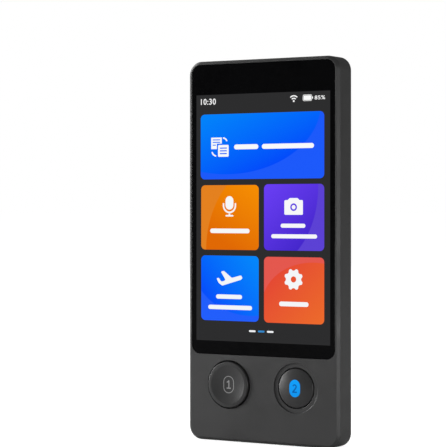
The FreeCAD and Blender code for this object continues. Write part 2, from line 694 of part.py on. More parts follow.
def rear_cover():
    """Inset rear cover: bevelled raised back, hooks, camera window seat, microphone hole and grille."""
    edge = Part.Face(cover_outline(0, COVER_SEAT)).extrude(FreeCAD.Vector(0, COVER_EDGE_T, 0))
    outlines = [cover_outline(0, HOUSING_D), cover_outline(COVER_BEVEL_W, COVER_BACK)]
    raised = Part.makeLoft(outlines, True, True)
    hollow = Part.Face(cover_outline(COVER_RING_W, COVER_SEAT - CUT_SPARE))
    hollow = hollow.extrude(FreeCAD.Vector(0, COVER_INNER - COVER_SEAT + CUT_SPARE, 0))
    plate = edge.fuse(raised).cut(hollow)
    pad_w = WINDOW_W + 2 * WINDOW_PAD_BORDER
    pad_h = WINDOW_H + 2 * WINDOW_PAD_BORDER
    pad_front = COVER_INNER - WINDOW_PAD_T
    pad = centred(0, WINDOW_Z, pad_w, pad_h, pad_front, COVER_BACK - COVER_WALL / 2, WINDOW_PAD_R)
    hooks = [stationed(cover_hook(), station) for station in snap_stations()]
    cover = joined([plate, pad] + hooks)
    seat_w = WINDOW_W + 2 * WINDOW_GAP
    seat_h = WINDOW_H + 2 * WINDOW_GAP
    through = COVER_BACK + CUT_SPARE
    flash_w = FLASH_W + 2 * FLASH_GAP
    barrel_d = CAMERA_BARREL_D + 2 * CAMERA_GAP
    cuts = [
        centred(0, WINDOW_Z, seat_w, seat_h, WINDOW_FLOOR, through, seat_h / 2),
        column(0, WINDOW_Z, barrel_d, HIDDEN_SIDES, COVER_SEAT, through),
        centred(FLASH_X, WINDOW_Z, flash_w, flash_w, COVER_SEAT, through),
        column(REAR_MIC_X, REAR_MIC_Z, MIC_HOLE_D, HIDDEN_SIDES, COVER_SEAT, through),
    ]
    cuts += [column(x, z, GRILLE_HOLE_D, GRILLE_HOLE_SIDES, COVER_SEAT, through) for x, z in grille_holes()]
    return cover.cut(cuts)


def cover_glass():
    """Flat cover glass with a finely broken front edge, set into the front of the housing."""
    glass = slab(-GLASS_W / 2, GLASS_W / 2, GLASS_BOTTOM, GLASS_TOP, GLASS_SINK, GLASS_BACK, GLASS_R)
    return chamfered(glass, GLASS_SINK, GLASS_EDGE_BREAK)


def glass_tape():
    """Frame of adhesive between the glass and the housing's ledge."""
    half = GLASS_W / 2 - GLASS_TAPE_INSET
    radius = GLASS_R - GLASS_TAPE_INSET
    low, high = GLASS_BOTTOM + GLASS_TAPE_INSET, GLASS_TOP - GLASS_TAPE_INSET
    back = GLASS_BACK + GLASS_TAPE_T
    frame = slab(-half, half, low, high, GLASS_BACK, back, radius)
    opening_half = LCD_HALF_W + LCD_CLEARANCE
    front = GLASS_BACK - CUT_SPARE
    opening = slab(-opening_half, opening_half, POCKET_BOTTOM, POCKET_TOP, front, back + CUT_SPARE)
    return frame.cut(opening)


def lcd_cell():
    """Liquid crystal cell bonded to the back of the glass, with its driver ledge at the top."""
    return slab(-LCD_HALF_W, LCD_HALF_W, LCD_BOTTOM, LCD_TOP, GLASS_BACK, LCD_BACK)


def backlight_unit():
    """Light guide in its folded steel tray, behind the lit part of the cell."""
    half = LCD_HALF_W
    return slab(-half, half, LCD_BOTTOM, BACKLIGHT_TOP, LCD_BACK, LCD_BACK + BACKLIGHT_T)


def display_flex():
    """Flex from the driver ledge, round through the bulkhead's slot and down to the main board."""
    turn_z = LCD_TOP + DISPLAY_FLEX_ROOM / 2
    start_z = LCD_TOP - DISPLAY_FLEX_LAP
    back = MAIN_BOARD_FRONT - CONNECTOR_T
    front = LCD_BACK + FLEX_T
    end_z = display_connector_z() - DISPLAY_CONNECTOR_H / 2
    points = ((front, start_z), (front, turn_z), (back, turn_z), (back, end_z))
    return ribbon(points, -DISPLAY_FLEX_W / 2, DISPLAY_FLEX_W / 2)


def display_connector_z():
    """Height of the display connector, just above the camera."""
    return WINDOW_Z + CAMERA_BODY_W / 2 + CAMERA_GAP + DISPLAY_CONNECTOR_H


def button_places():
    """Each talk button's centre x, name and flange radius."""
    return (
        (-BUTTON_PITCH / 2, "left", LEFT_CAP_D / 2 + CAP_FLANGE_REACH),
        (BUTTON_PITCH / 2, "right", RIGHT_CAP_D / 2 + CAP_FLANGE_REACH),
    )


def sphere_through(radius, centre_depth, edge_depth, x, z):
    """Sphere whose face crosses the axis at one depth and a circle of that radius at another."""
    rise = edge_depth - centre_depth
    sphere_r = (radius ** 2 + rise ** 2) / (2 * abs(rise))
    middle = centre_depth + math.copysign(sphere_r, rise)
    return Part.makeSphere(sphere_r, vector(x, middle, z))


def cap_blank(name, x, flange_r):
    """Solid cap with its dish or dome and its broken edge, before it is hollowed and flanged."""
    cap_r = flange_r - CAP_FLANGE_REACH
    face_r = cap_r - CAP_EDGE_CHAMFER
    dished = name == "left"
    rim = -LEFT_RISE if dished else RIGHT_EDGE_SINK
    spare = 0 if dished else DOME_RISE + CAP_EDGE_CHAMFER
    back = CAP_FLANGE_FRONT + CAP_FLANGE_T
    profile = (
        vector(0, rim - spare, 0),
        vector(face_r - spare, rim - spare, 0),
        vector(cap_r, rim + CAP_EDGE_CHAMFER, 0),
        vector(cap_r, back, 0),
        vector(0, back, 0),
    )
    blank = turned(profile, x, BUTTON_Z)
    if dished:
        return blank.cut(sphere_through(DISH_D / 2, rim + DISH_DEPTH, rim, x, BUTTON_Z))
    return blank.common(sphere_through(face_r, rim - DOME_RISE, rim, x, BUTTON_Z))


def cap_roof_depth(name):
    """Depth of the lowest point of a cap's outer face, which its wall is measured from."""
    return DISH_DEPTH - LEFT_RISE if name == "left" else RIGHT_EDGE_SINK


def lens_prism(name, x):
    """Upright pill through a cap's face, down to the back of its light window."""
    front, back = -LEFT_RISE - CUT_SPARE, cap_roof_depth(name) + LENS_T
    return centred(x, BUTTON_Z, LENS_W, LENS_H, front, back, LENS_W / 2)


def button_cap(name, x, flange_r):
    """Talk button cap: hollow below its face, with a post for the switch, light holes and a tab."""
    cap_r = flange_r - CAP_FLANGE_REACH
    roof = cap_roof_depth(name) + CAP_WALL
    flange_back = CAP_FLANGE_FRONT + CAP_FLANGE_T
    tab_top = BUTTON_Z + flange_r + TAB_REACH
    tab = slab(x - TAB_W / 2, x + TAB_W / 2, BUTTON_Z + cap_r, tab_top, CAP_FLANGE_FRONT, flange_back)
    flange = column(x, BUTTON_Z, 2 * flange_r, FLANGE_SIDES, CAP_FLANGE_FRONT, flange_back)
    cap = cap_blank(name, x, flange_r).fuse([flange, tab])
    hollow_d = 2 * (cap_r - CAP_SKIRT_T)
    hollow = column(x, BUTTON_Z, hollow_d, HIDDEN_SIDES, roof, flange_back + CUT_SPARE)
    cap = cap.cut([hollow, lens_prism(name, x)])
    post = column(x, BUTTON_Z, CAP_POST_D, HIDDEN_SIDES, roof - CAP_POST_LAP, POST_END)
    cap = joined([cap, post])
    holes = []
    for offset in (-LIGHT_HOLE_OFFSET, LIGHT_HOLE_OFFSET):
        hole = column(x, BUTTON_Z + offset, LIGHT_HOLE_D, SCREW_SIDES, 0, roof + CUT_SPARE)
        holes.append(hole.cut(lens_prism(name, x)))
    return cap.cut(holes)


def button_lens(name, x, flange_r):
    """Pill-shaped light window whose face follows the cap's dish or dome."""
    return cap_blank(name, x, flange_r).common(lens_prism(name, x))


def switch_plunger(x):
    """Round plunger of a talk button's switch, pushed by the cap's post."""
    return column(x, BUTTON_Z, SWITCH_PLUNGER_D, HIDDEN_SIDES, POST_END, SWITCH_FRONT + PLUNGER_LAP)


def switch_body(x):
    """Body of a talk button's switch, with the bore that its plunger runs in."""
    body = centred(x, BUTTON_Z, SWITCH_W, SWITCH_W, SWITCH_FRONT, BUTTON_BOARD_DEPTH)
    bore_d = SWITCH_PLUNGER_D + 2 * SWITCH_BORE_GAP
    front, floor = SWITCH_FRONT - CUT_SPARE, BUTTON_BOARD_DEPTH - SWITCH_BORE_FLOOR
    return body.cut(column(x, BUTTON_Z, bore_d, HIDDEN_SIDES, front, floor))


def button_leds():
    """Light-emitting diodes above and below each switch, behind the light windows."""
    leds = []
    for x, _, _ in button_places():
        for offset in (-LED_OFFSET, LED_OFFSET):
            z = BUTTON_Z + offset
            leds.append(centred(x, z, LED_L, LED_W, BUTTON_BOARD_DEPTH - LED_T, BUTTON_BOARD_DEPTH))
    return Part.makeCompound(leds)


def button_board():
    """Lower board: switches in front, speaker behind, with a notch for the charging port."""
    board = slab(-BOARD_HALF_W, BOARD_HALF_W, BUTTON_BOARD_BOTTOM, BUTTON_BOARD_TOP, BUTTON_BOARD_DEPTH,
                 BUTTON_BOARD_BACK, BOARD_CORNER_R)
    notch_half = PORT_W / 2 + PORT_NOTCH_GAP
    notch_top = PORT_SINK + PORT_L + PORT_NOTCH_GAP
    cuts = [slab(-notch_half, notch_half, 0, notch_top, 0, HOUSING_D)]
    cuts += [column(x, z, SCREW_HOLE_D, SCREW_SIDES, 0, HOUSING_D) for x, z in BUTTON_SCREWS]
    return board.cut(cuts)


def main_board():
    """Upper board, with a notch for the key bracket and an opening for the camera."""
    board = slab(-BOARD_HALF_W, BOARD_HALF_W, MAIN_BOARD_BOTTOM, MAIN_BOARD_TOP, MAIN_BOARD_FRONT,
                 MAIN_BOARD_BACK, BOARD_CORNER_R)
    camera_w = CAMERA_BODY_W + 2 * CAMERA_GAP
    cuts = [
        slab(-BODY_W, -NOTCH_X, 0, BRACKET_TOP + BOARD_EDGE_GAP, 0, HOUSING_D),
        centred(0, WINDOW_Z, camera_w, camera_w, 0, HOUSING_D),
    ]
    cuts += [column(x, z, SCREW_HOLE_D, SCREW_SIDES, 0, HOUSING_D) for x, z in MAIN_SCREWS]
    return board.cut(cuts)


def screw(x, z, board_back):
    """Pan-head screw through a board into its boss."""
    shank = column(x, z, SCREW_SHANK_D, SCREW_SIDES, board_back - SCREW_L, board_back)
    head = column(x, z, SCREW_HEAD_D, SCREW_SIDES, board_back, board_back + SCREW_HEAD_T)
    return joined([head, shank])


def board_screws():
    """All the screws that hold the two boards."""
    screws = [screw(x, z, MAIN_BOARD_BACK) for x, z in MAIN_SCREWS]
    screws += [screw(x, z, BUTTON_BOARD_BACK) for x, z in BUTTON_SCREWS]
    return Part.makeCompound(screws)


def shield(x0, x1, z0, height):
    """Pressed steel shield over one area of the main board: a fence and the lid clipped over it."""
    back = MAIN_BOARD_BACK + SHIELD_T
    z1 = z0 + height
    lip = SHIELD_LID_LIP
    fence = slab(x0 + lip, x1 - lip, z0 + lip, z1 - lip, MAIN_BOARD_BACK, back - lip)
    lid = slab(x0, x1, z0, z1, MAIN_BOARD_BACK + SHIELD_T / 2, back, SHIELD_CORNER_R)
    return joined([fence, lid])


def processor_shield():
    """Shield over the processor, between the key notch and the camera."""
    camera_edge = CAMERA_BODY_W / 2 + CAMERA_GAP
    bottom = MAIN_BOARD_BOTTOM + SHIELD_LIFT
    return shield(-NOTCH_X + SHIELD_GAP, -camera_edge - SHIELD_GAP, bottom, PROCESSOR_SHIELD_H)


def radio_shield():
    """Shield over the radio, beside the link connector."""
    bottom = MAIN_BOARD_BOTTOM + RADIO_SHIELD_LIFT
    return shield(RADIO_SHIELD_START, link_flex_x()[0] - RADIO_SHIELD_GAP, bottom, RADIO_SHIELD_H)


def link_connector_z():
    """Height of the link flex's connector on the main board."""
    return MAIN_BOARD_BOTTOM + LINK_CONNECTOR_LIFT + LINK_CONNECTOR_H / 2


def link_flex_x():
    """Low and high x of the link flex, between the battery frame and the seat ribs."""
    high = BOARD_HALF_W
    return high - LINK_FLEX_W, high


def board_connectors():
    """Connectors for the battery, for the link flex and, on the board's front, for the display."""
    low, high = link_flex_x()
    back = MAIN_BOARD_BACK
    front = MAIN_BOARD_FRONT
    link_z = link_connector_z()
    battery_z = BATTERY_CONNECTOR_TOP - BATTERY_CONNECTOR_H / 2
    top = back + CONNECTOR_T
    return Part.makeCompound([
        centred(BATTERY_CONNECTOR_X, battery_z, BATTERY_CONNECTOR_W, BATTERY_CONNECTOR_H, back, top),
        centred((low + high) / 2, link_z, high - low, LINK_CONNECTOR_H, back, top),
        centred(0, display_connector_z(), DISPLAY_FLEX_W, DISPLAY_CONNECTOR_H, front - CONNECTOR_T, front),
    ])


def battery_cell():
    """Pouch cell with round long edges and the narrow terrace that holds its protection circuit."""
    half = BATTERY_HALF_W
    pouch_top = BATTERY_TOP - BATTERY_TERRACE_H
    pouch = end_slab(-half, half, BATTERY_BOTTOM, pouch_top, BATTERY_FRONT, BATTERY_BACK, BATTERY_EDGE_R)
    terrace_half = half - BATTERY_TERRACE_INSET
    terrace = slab(-terrace_half, terrace_half, pouch_top, BATTERY_TOP, BATTERY_FRONT,
                   BATTERY_FRONT + BATTERY_TERRACE_T)
    return joined([pouch, terrace])


def battery_tape():
    """Two stretch-release strips under the battery."""
    strips = []
    strip_w = BATTERY_HALF_W - 2 * BATTERY_TAPE_INSET
    for x in (-BATTERY_HALF_W / 2, BATTERY_HALF_W / 2):
        strips.append(slab(x - strip_w / 2, x + strip_w / 2, BATTERY_BOTTOM + BATTERY_TAPE_INSET,
                           BATTERY_TOP - BATTERY_TAPE_INSET, BULKHEAD_BACK, BATTERY_FRONT))
    return Part.makeCompound(strips)


def battery_flex():
    """Flex tail from the battery's terrace, over the main board's edge to its connector."""
    x = BATTERY_CONNECTOR_X
    low = BATTERY_FRONT + BATTERY_TERRACE_T
    high = MAIN_BOARD_BACK + CONNECTOR_T
    step_z = (BATTERY_TOP + MAIN_BOARD_BOTTOM) / 2
    points = ((low, BATTERY_TOP - BATTERY_TERRACE_H / 2), (low, step_z), (high, step_z),
              (high, BATTERY_CONNECTOR_TOP))
    return ribbon(points, x - BATTERY_FLEX_W / 2, x + BATTERY_FLEX_W / 2)


def link_flex():
    """Flex that joins the two boards, laid on the bulkhead beside the battery."""
    low, high = link_flex_x()
    lower = BUTTON_BOARD_BACK
    floor = BULKHEAD_BACK + FLEX_T
    upper = MAIN_BOARD_BACK + CONNECTOR_T
    first_step = BUTTON_BOARD_TOP + BOARD_EDGE_GAP + FLEX_T
    second_step = MAIN_BOARD_BOTTOM - BOARD_EDGE_GAP - FLEX_T
    points = (
        (lower, LINK_FLEX_BOTTOM),
        (lower, first_step),
        (floor, first_step),
        (floor, second_step),
        (upper, second_step),
        (upper, link_connector_z() + LINK_CONNECTOR_H / 2),
    )
    return ribbon(points, low, high)


def usb_receptacle():
    """Charging receptacle: rounded shell, closed back and the tongue in its mouth."""
    z0 = PORT_SINK
    z1 = PORT_SINK + PORT_L
    half_w, half_t = PORT_W / 2, PORT_T / 2
    in_w, in_t = half_w - PORT_SHELL_T, half_t - PORT_SHELL_T
    middle = -FRONT_Y
    shell = end_slab(-half_w, half_w, z0, z1, middle - half_t, middle + half_t, half_t)
    mouth = end_slab(-in_w, in_w, z0 - CUT_SPARE, z1 - PORT_BACK_T, middle - in_t, middle + in_t, in_t)
    tongue = end_slab(-TONGUE_W / 2, TONGUE_W / 2, z0 + TONGUE_SINK, z1 - PORT_BACK_T / 2,
                      middle - TONGUE_T / 2, middle + TONGUE_T / 2)
    return joined([shell.cut(mouth), tongue])


def microphone(x, z, front):
    """Small microphone in a metal can."""
    return centred(x, z, MIC_L, MIC_W, front, front + MIC_T)


def rear_microphone():
    """Second microphone, on the back of the main board."""
    return microphone(REAR_MIC_X, REAR_MIC_Z, MAIN_BOARD_BACK)


def rear_mic_boot():
    """Rubber boot that seals the rear microphone to its hole in the cover."""
    boot = column(REAR_MIC_X, REAR_MIC_Z, REAR_BOOT_D, SCREW_SIDES, MAIN_BOARD_BACK + MIC_T, COVER_INNER)
    return boot.cut(column(REAR_MIC_X, REAR_MIC_Z, MIC_HOLE_D, SCREW_SIDES, 0, COVER_BACK))


def bottom_mic_z():
    """Height of the main microphone on the front of the button board."""
    return BUTTON_BOARD_BOTTOM + BOOT_BORDER + MIC_W / 2


def bottom_microphone():
    """Main microphone, on the front of the button board above its hole in the bottom wall."""
    return microphone(BOTTOM_MIC_X, bottom_mic_z(), BUTTON_BOARD_DEPTH - MIC_T)


def bottom_mic_boot():
    """Rubber boot over the main microphone, with the sound channel from the bottom wall's hole."""
    half = MIC_L / 2 + BOOT_BORDER
    top = bottom_mic_z() + MIC_W / 2 + BOOT_BORDER
    block = slab(BOTTOM_MIC_X - half, BOTTOM_MIC_X + half, WALL, top, FRONT_WALL, BUTTON_BOARD_DEPTH)
    return block.cut([bottom_microphone(), mic_channel(bottom_mic_z())])


def speaker_box():
    """Sealed speaker box behind the button board, with a sunk cone that faces the grille."""
    half, low, high = SPEAKER_HALF_W, SPEAKER_BOTTOM, SPEAKER_TOP
    box = slab(-half, half, low, high, SPEAKER_FRONT, SPEAKER_BACK, SPEAKER_CORNER_R)
    inset = 2 * SPEAKER_GASKET_W
    cone = slab(-half + inset, half - inset, low + inset, high - inset, SPEAKER_BACK - SPEAKER_CONE_SINK,
                SPEAKER_BACK + CUT_SPARE)
    return box.cut(cone)


def speaker_gasket():
    """Foam frame between the speaker box and the mesh."""
    half, low, high = SPEAKER_HALF_W, SPEAKER_BOTTOM, SPEAKER_TOP
    back = SPEAKER_BACK + SPEAKER_GASKET_T
    frame = slab(-half, half, low, high, SPEAKER_BACK, back, SPEAKER_CORNER_R)
    opening = slab(-half + SPEAKER_GASKET_W, half - SPEAKER_GASKET_W, low + SPEAKER_GASKET_W,
                   high - SPEAKER_GASKET_W, SPEAKER_BACK - CUT_SPARE, back + CUT_SPARE)
    return frame.cut(opening)


def speaker_mesh():
    """Dust mesh glued inside the cover behind the grille."""
    half, low, high = SPEAKER_HALF_W, SPEAKER_BOTTOM, SPEAKER_TOP
    return slab(-half, half, low, high, COVER_INNER - SPEAKER_MESH_T, COVER_INNER, SPEAKER_CORNER_R)


def side_key(z, length):
    """Side key: cap through the wall, flange that keeps it in, and a nub for its switch."""
    half_w, half_l = KEY_W / 2, length / 2
    low, high = KEY_DEPTH - half_w, KEY_DEPTH + half_w
    cap_face = -BODY_W / 2 - KEY_RISE
    cap = side_slab(cap_face, -KEY_FLANGE_X, z - half_l, z + half_l, low, high, half_w)
    edges = [edge for edge in cap.Edges if all(abs(vertex.X - cap_face) < 1e-6 for vertex in edge.Vertexes)]
    cap = cap.makeChamfer(KEY_EDGE_CHAMFER, edges)
    flange_x = -INNER_X + KEY_SEAT_GAP
    flange = side_slab(flange_x, -KEY_FLANGE_X, z - half_l - KEY_FLANGE_REACH, z + half_l + KEY_FLANGE_REACH,
                       low - KEY_FLANGE_SIDE_REACH, high + KEY_FLANGE_SIDE_REACH)
    nub_half = KEY_NUB_L / 2
    nub = side_slab(-KEY_FLANGE_X, -KEY_NUB_X, z - nub_half, z + nub_half, KEY_DEPTH - half_w / 2,
                    KEY_DEPTH + half_w / 2)
    return joined([cap, flange, nub])


def side_plunger_box(z, gap, x0, x1):
    """Plunger of a side switch, or with a gap the bore that it runs in."""
    half_l = SIDE_PLUNGER_L / 2 + gap
    half_w = SIDE_PLUNGER_W / 2 + gap
    return side_slab(x0, x1, z - half_l, z + half_l, KEY_DEPTH - half_w, KEY_DEPTH + half_w)


def side_plunger(z):
    """Plunger of one side switch, pushed by its key's nub."""
    return side_plunger_box(z, 0, -KEY_NUB_X, -SIDE_SWITCH_X + PLUNGER_LAP)


def side_switches():
    """Switch bodies behind the three side keys."""
    bodies = []
    half_w = SIDE_SWITCH_W / 2
    for _, z, _ in KEY_SPECS:
        body = side_slab(-SIDE_SWITCH_X, -SIDE_FLEX_X, z - SIDE_SWITCH_L / 2, z + SIDE_SWITCH_L / 2,
                         KEY_DEPTH - half_w, KEY_DEPTH + half_w)
        mouth, floor = -SIDE_SWITCH_X - CUT_SPARE, -SIDE_FLEX_X - SWITCH_BORE_FLOOR
        bore = side_plunger_box(z, SWITCH_BORE_GAP, mouth, floor)
        bodies.append(body.cut(bore))
    return Part.makeCompound(bodies)


def side_key_flex():
    """Flex that carries the side switches."""
    half_w = SIDE_SWITCH_W / 2
    return side_slab(-SIDE_FLEX_X, -BRACKET_X, BRACKET_BOTTOM, BRACKET_TOP, KEY_DEPTH - half_w,
                     KEY_DEPTH + half_w)


def side_key_bracket():
    """Steel strip that backs the flex and leans on the battery frame's rib."""
    half_w = SIDE_SWITCH_W / 2
    return side_slab(-BRACKET_X, -BRACKET_X + BRACKET_T, BRACKET_BOTTOM, BRACKET_TOP, KEY_DEPTH - half_w,
                     KEY_DEPTH + half_w)


def camera_module():
    """Camera body and its barrel, which reaches into the cover's opening."""
    body = centred(0, WINDOW_Z, CAMERA_BODY_W, CAMERA_BODY_W, CAMERA_FRONT, CAMERA_FRONT + CAMERA_BODY_T)
    front = CAMERA_FRONT + CAMERA_BODY_T / 2
    barrel = column(0, WINDOW_Z, CAMERA_BARREL_D, HIDDEN_SIDES, front, BARREL_BACK)
    seat = disc(0, WINDOW_Z, CAMERA_LENS_D, BARREL_BACK - CAMERA_LENS_RISE, BARREL_BACK + CUT_SPARE)
    return joined([body, barrel]).cut(seat)


def camera_lens():
    """Front element of the camera: a flat-backed lens with a shallow dome."""
    back = BARREL_BACK + CAMERA_LENS_RISE
    blank = disc(0, WINDOW_Z, CAMERA_LENS_D, BARREL_BACK - CAMERA_LENS_RISE, back)
    return blank.common(sphere_through(CAMERA_LENS_D / 2, back, BARREL_BACK, 0, WINDOW_Z))


def camera_window():
    """Dark window let into the back over the camera and the flash."""
    return centred(0, WINDOW_Z, WINDOW_W, WINDOW_H, WINDOW_FLOOR, WINDOW_FLOOR + WINDOW_T, WINDOW_H / 2)


def flash_led():
    """Flash package on the back of the main board."""
    back = MAIN_BOARD_BACK
    return centred(FLASH_X, WINDOW_Z, FLASH_LED_W, FLASH_LED_W, back, back + FLASH_LED_T)


def flash_diffuser():
    """Square light pipe from the flash to the window."""
    front = MAIN_BOARD_BACK + FLASH_LED_T
    return centred(FLASH_X, WINDOW_Z, FLASH_W, FLASH_W, front, WINDOW_FLOOR)


def wifi_antenna():
    """Antenna film on the inside of the top wall."""
    half = ANTENNA_W / 2
    front = MAIN_BOARD_FRONT
    return slab(-half, half, INNER_TOP - ANTENNA_T, INNER_TOP, front, front + ANTENNA_H)


def antenna_spring():
    """Contact spring from the main board's top edge to the antenna film."""
    half = ANTENNA_SPRING_W / 2
    x = ANTENNA_SPRING_X
    base = slab(x - half, x + half, MAIN_BOARD_TOP - ANTENNA_SPRING_L, MAIN_BOARD_TOP, MAIN_BOARD_BACK,
                MAIN_BOARD_BACK + FLEX_T)
    leaf = slab(x - half, x + half, MAIN_BOARD_TOP - FLEX_T, INNER_TOP - ANTENNA_T, MAIN_BOARD_BACK,
                MAIN_BOARD_BACK + FLEX_T)
    return joined([base, leaf])


def build_nodes():
    """Every sub-part by its node name."""
    nodes = {
        "front_housing": front_housing(),
        "rear_cover": rear_cover(),
        "cover_glass": cover_glass(),
        "glass_tape": glass_tape(),
        "lcd_cell": lcd_cell(),
        "backlight_unit": backlight_unit(),
        "display_flex": display_flex(),
        "main_board": main_board(),
        "button_board": button_board(),
        "board_screws": board_screws(),
        "processor_shield": processor_shield(),
        "radio_shield": radio_shield(),
        "board_connectors": board_connectors(),
        "battery_cell": battery_cell(),
        "battery_tape": battery_tape(),
        "battery_flex": battery_flex(),
        "link_flex": link_flex(),
        "button_leds": button_leds(),
        "usb_receptacle": usb_receptacle(),
        "bottom_microphone": bottom_microphone(),
        "bottom_mic_boot": bottom_mic_boot(),
        "rear_microphone": rear_microphone(),
        "rear_mic_boot": rear_mic_boot(),
        "speaker_box": speaker_box(),
        "speaker_gasket": speaker_gasket(),
        "speaker_mesh": speaker_mesh(),
        "side_switches": side_switches(),
        "side_key_flex": side_key_flex(),
        "side_key_bracket": side_key_bracket(),
        "camera_module": camera_module(),
        "camera_lens": camera_lens(),
        "camera_window": camera_window(),
        "flash_led": flash_led(),
        "flash_diffuser": flash_diffuser(),
        "wifi_antenna": wifi_antenna(),
        "antenna_spring": antenna_spring(),
    }
    for x, name, flange_r in button_places():
        nodes[f"{name}_button_cap"] = button_cap(name, x, flange_r)
        nodes[f"{name}_button_lens"] = button_lens(name, x, flange_r)
        nodes[f"{name}_switch_plunger"] = switch_plunger(x)
        nodes[f"{name}_switch_body"] = switch_body(x)
    for name, z, length in KEY_SPECS:
        nodes[f"{name}_key"] = side_key(z, length)
        nodes[f"{name}_plunger"] = side_plunger(z)
    return nodes


def main():
    """Write one STEP file per sub-part."""
    os.makedirs("parts", exist_ok=True)
    for name, shape in build_nodes().items():
        if not shape.isValid():
            print("not valid:", name)
        shape.exportStep(f"parts/{name}.step")


main()
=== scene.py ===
"""Looks of the handheld voice translator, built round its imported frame.

Millimetres are used for every size below and become metres only where a mesh is made. A place is given by
x across the device, depth behind its front plane, and z up from its bottom face.
"""
import json
import logging
import math
from dataclasses import dataclass, replace
from enum import Enum
from functools import cache
from typing import Any, Callable, Iterable, Sequence

import bmesh
import bpy
from mathutils import Matrix, Vector

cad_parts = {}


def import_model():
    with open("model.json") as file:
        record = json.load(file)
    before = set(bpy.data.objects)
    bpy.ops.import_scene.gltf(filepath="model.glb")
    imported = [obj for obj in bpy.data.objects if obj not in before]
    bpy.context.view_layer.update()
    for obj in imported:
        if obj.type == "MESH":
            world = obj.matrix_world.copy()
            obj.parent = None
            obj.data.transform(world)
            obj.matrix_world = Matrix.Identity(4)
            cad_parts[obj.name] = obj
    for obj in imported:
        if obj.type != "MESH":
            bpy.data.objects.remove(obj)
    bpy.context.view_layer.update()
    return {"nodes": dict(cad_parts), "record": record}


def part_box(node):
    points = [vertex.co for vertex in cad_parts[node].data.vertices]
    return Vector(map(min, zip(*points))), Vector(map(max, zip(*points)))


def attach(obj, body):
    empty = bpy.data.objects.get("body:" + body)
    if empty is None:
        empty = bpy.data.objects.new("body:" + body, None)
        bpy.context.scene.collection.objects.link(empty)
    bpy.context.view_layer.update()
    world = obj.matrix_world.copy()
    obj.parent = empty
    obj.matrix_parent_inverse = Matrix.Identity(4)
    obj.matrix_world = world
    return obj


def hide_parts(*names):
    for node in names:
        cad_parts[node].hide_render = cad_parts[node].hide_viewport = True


LOG = logging.getLogger("translator")
MM = 0.001

Mesh = bpy.types.Mesh
Tree = bpy.types.NodeTree
Socket = bpy.types.NodeSocket
Pair = tuple[float, float]
Plates = list[list[list[Pair]]]
Surface = Callable[[float, float], float]

# Node trees


def linear(hex_colour: str) -> tuple[float, float, float, float]:
    """Turn an sRGB hex colour into the linear colour that sockets take.

    Args:
        hex_colour: Colour as six hex digits after a hash sign.

    Returns:
        Linear red, green and blue, with an alpha of 1.
    """
    values = [int(hex_colour[start:start + 2], 16) / 255 for start in (1, 3, 5)]
    straight = [v / 12.92 if v <= 0.04045 else ((v + 0.055) / 1.055) ** 2.4 for v in values]
    return straight[0], straight[1], straight[2], 1.0


def add_node(tree: Tree, kind: str, settings: dict[str, Any] | None = None,
             inputs: dict[str | int, Any] | None = None) -> bpy.types.Node:
    """Add a node to a tree, set its own properties and fill or link its inputs.

    Args:
        tree: Tree of a material, the world or a modifier.
        kind: Blender's name for the type of node.
        settings: The node's own properties by name.
        inputs: Values, or output sockets to link from, by the input's name or number.

    Returns:
        The new node.
    """
    node = tree.nodes.new(kind)
    for name, value in (settings or {}).items():
        setattr(node, name, value)
    for key, value in (inputs or {}).items():
        if isinstance(value, Socket):
            tree.links.new(value, node.inputs[key])
        else:
            node.inputs[key].default_value = value
    return node


def ranged(tree: Tree, value: Socket, source: Pair,
           target: tuple[Any, Any] = (0.0, 1.0)) -> Socket:
    """Carry a value over from one range to another."""
    return add_node(tree, "ShaderNodeMapRange", None, {
        "Value": value, "From Min": source[0], "From Max": source[1],
        "To Min": target[0], "To Max": target[1]}).outputs["Result"]


def mixed(tree: Tree, share: Socket, first: Any, second: Any) -> Socket:
    """Mix two colours, each a hex colour or a socket."""
    colours = [linear(colour) if isinstance(colour, str) else colour for colour in (first, second)]
    return add_node(tree, "ShaderNodeMix", {"data_type": "RGBA"},
                    {"Factor": share, "A": colours[0], "B": colours[1]}).outputs["Result"]


def noise(tree: Tree, place: Socket, scale: float,
          detail: float) -> Socket:
    """Add a noise over a place."""
    inputs = {"Vector": place, "Scale": scale, "Detail": detail}
    return add_node(tree, "ShaderNodeTexNoise", None, inputs).outputs["Fac"]


def computed(tree: Tree, kind: str, operation: str, *values: Any) -> bpy.types.Node:
    """Add a Math or VectorMath node for an operation on values or sockets."""
    return add_node(tree, f"ShaderNode{kind}", {"operation": operation}, dict(enumerate(values)))


# Finishes

# How a finish reads its noises: the span over which the two colours mix, and the span of the broad noise.
MIX_SPAN = (0.7, 1.0)
NOISE_SPAN = (0.3, 0.7)
BUMP_STRENGTH = 0.6
# How the display reads: its colour when unlit, its gloss, dark lines between its cells, the sharp edge of the
# paler part, and a smear on the glass.
UNLIT = "#020202"
FACE_GLOSS = 0.04
CELL_LINE = (0.0, 0.12)
CELL_GLOW = (0.95, 1.02)
PALE_EDGE = (0.995, 1.005)
SMEAR_SCALE = 60.0
SMEAR_ROUGHNESS = (0.04, 0.12)


class Grain(Enum):
    """How a surface's fine pattern runs, as its stretch along x, y and z."""

    EVEN = (1.0, 1.0, 1.0)
    BRUSHED_UP = (1.0, 1.0, 0.06)
    BRUSHED_ACROSS = (0.06, 1.0, 1.0)


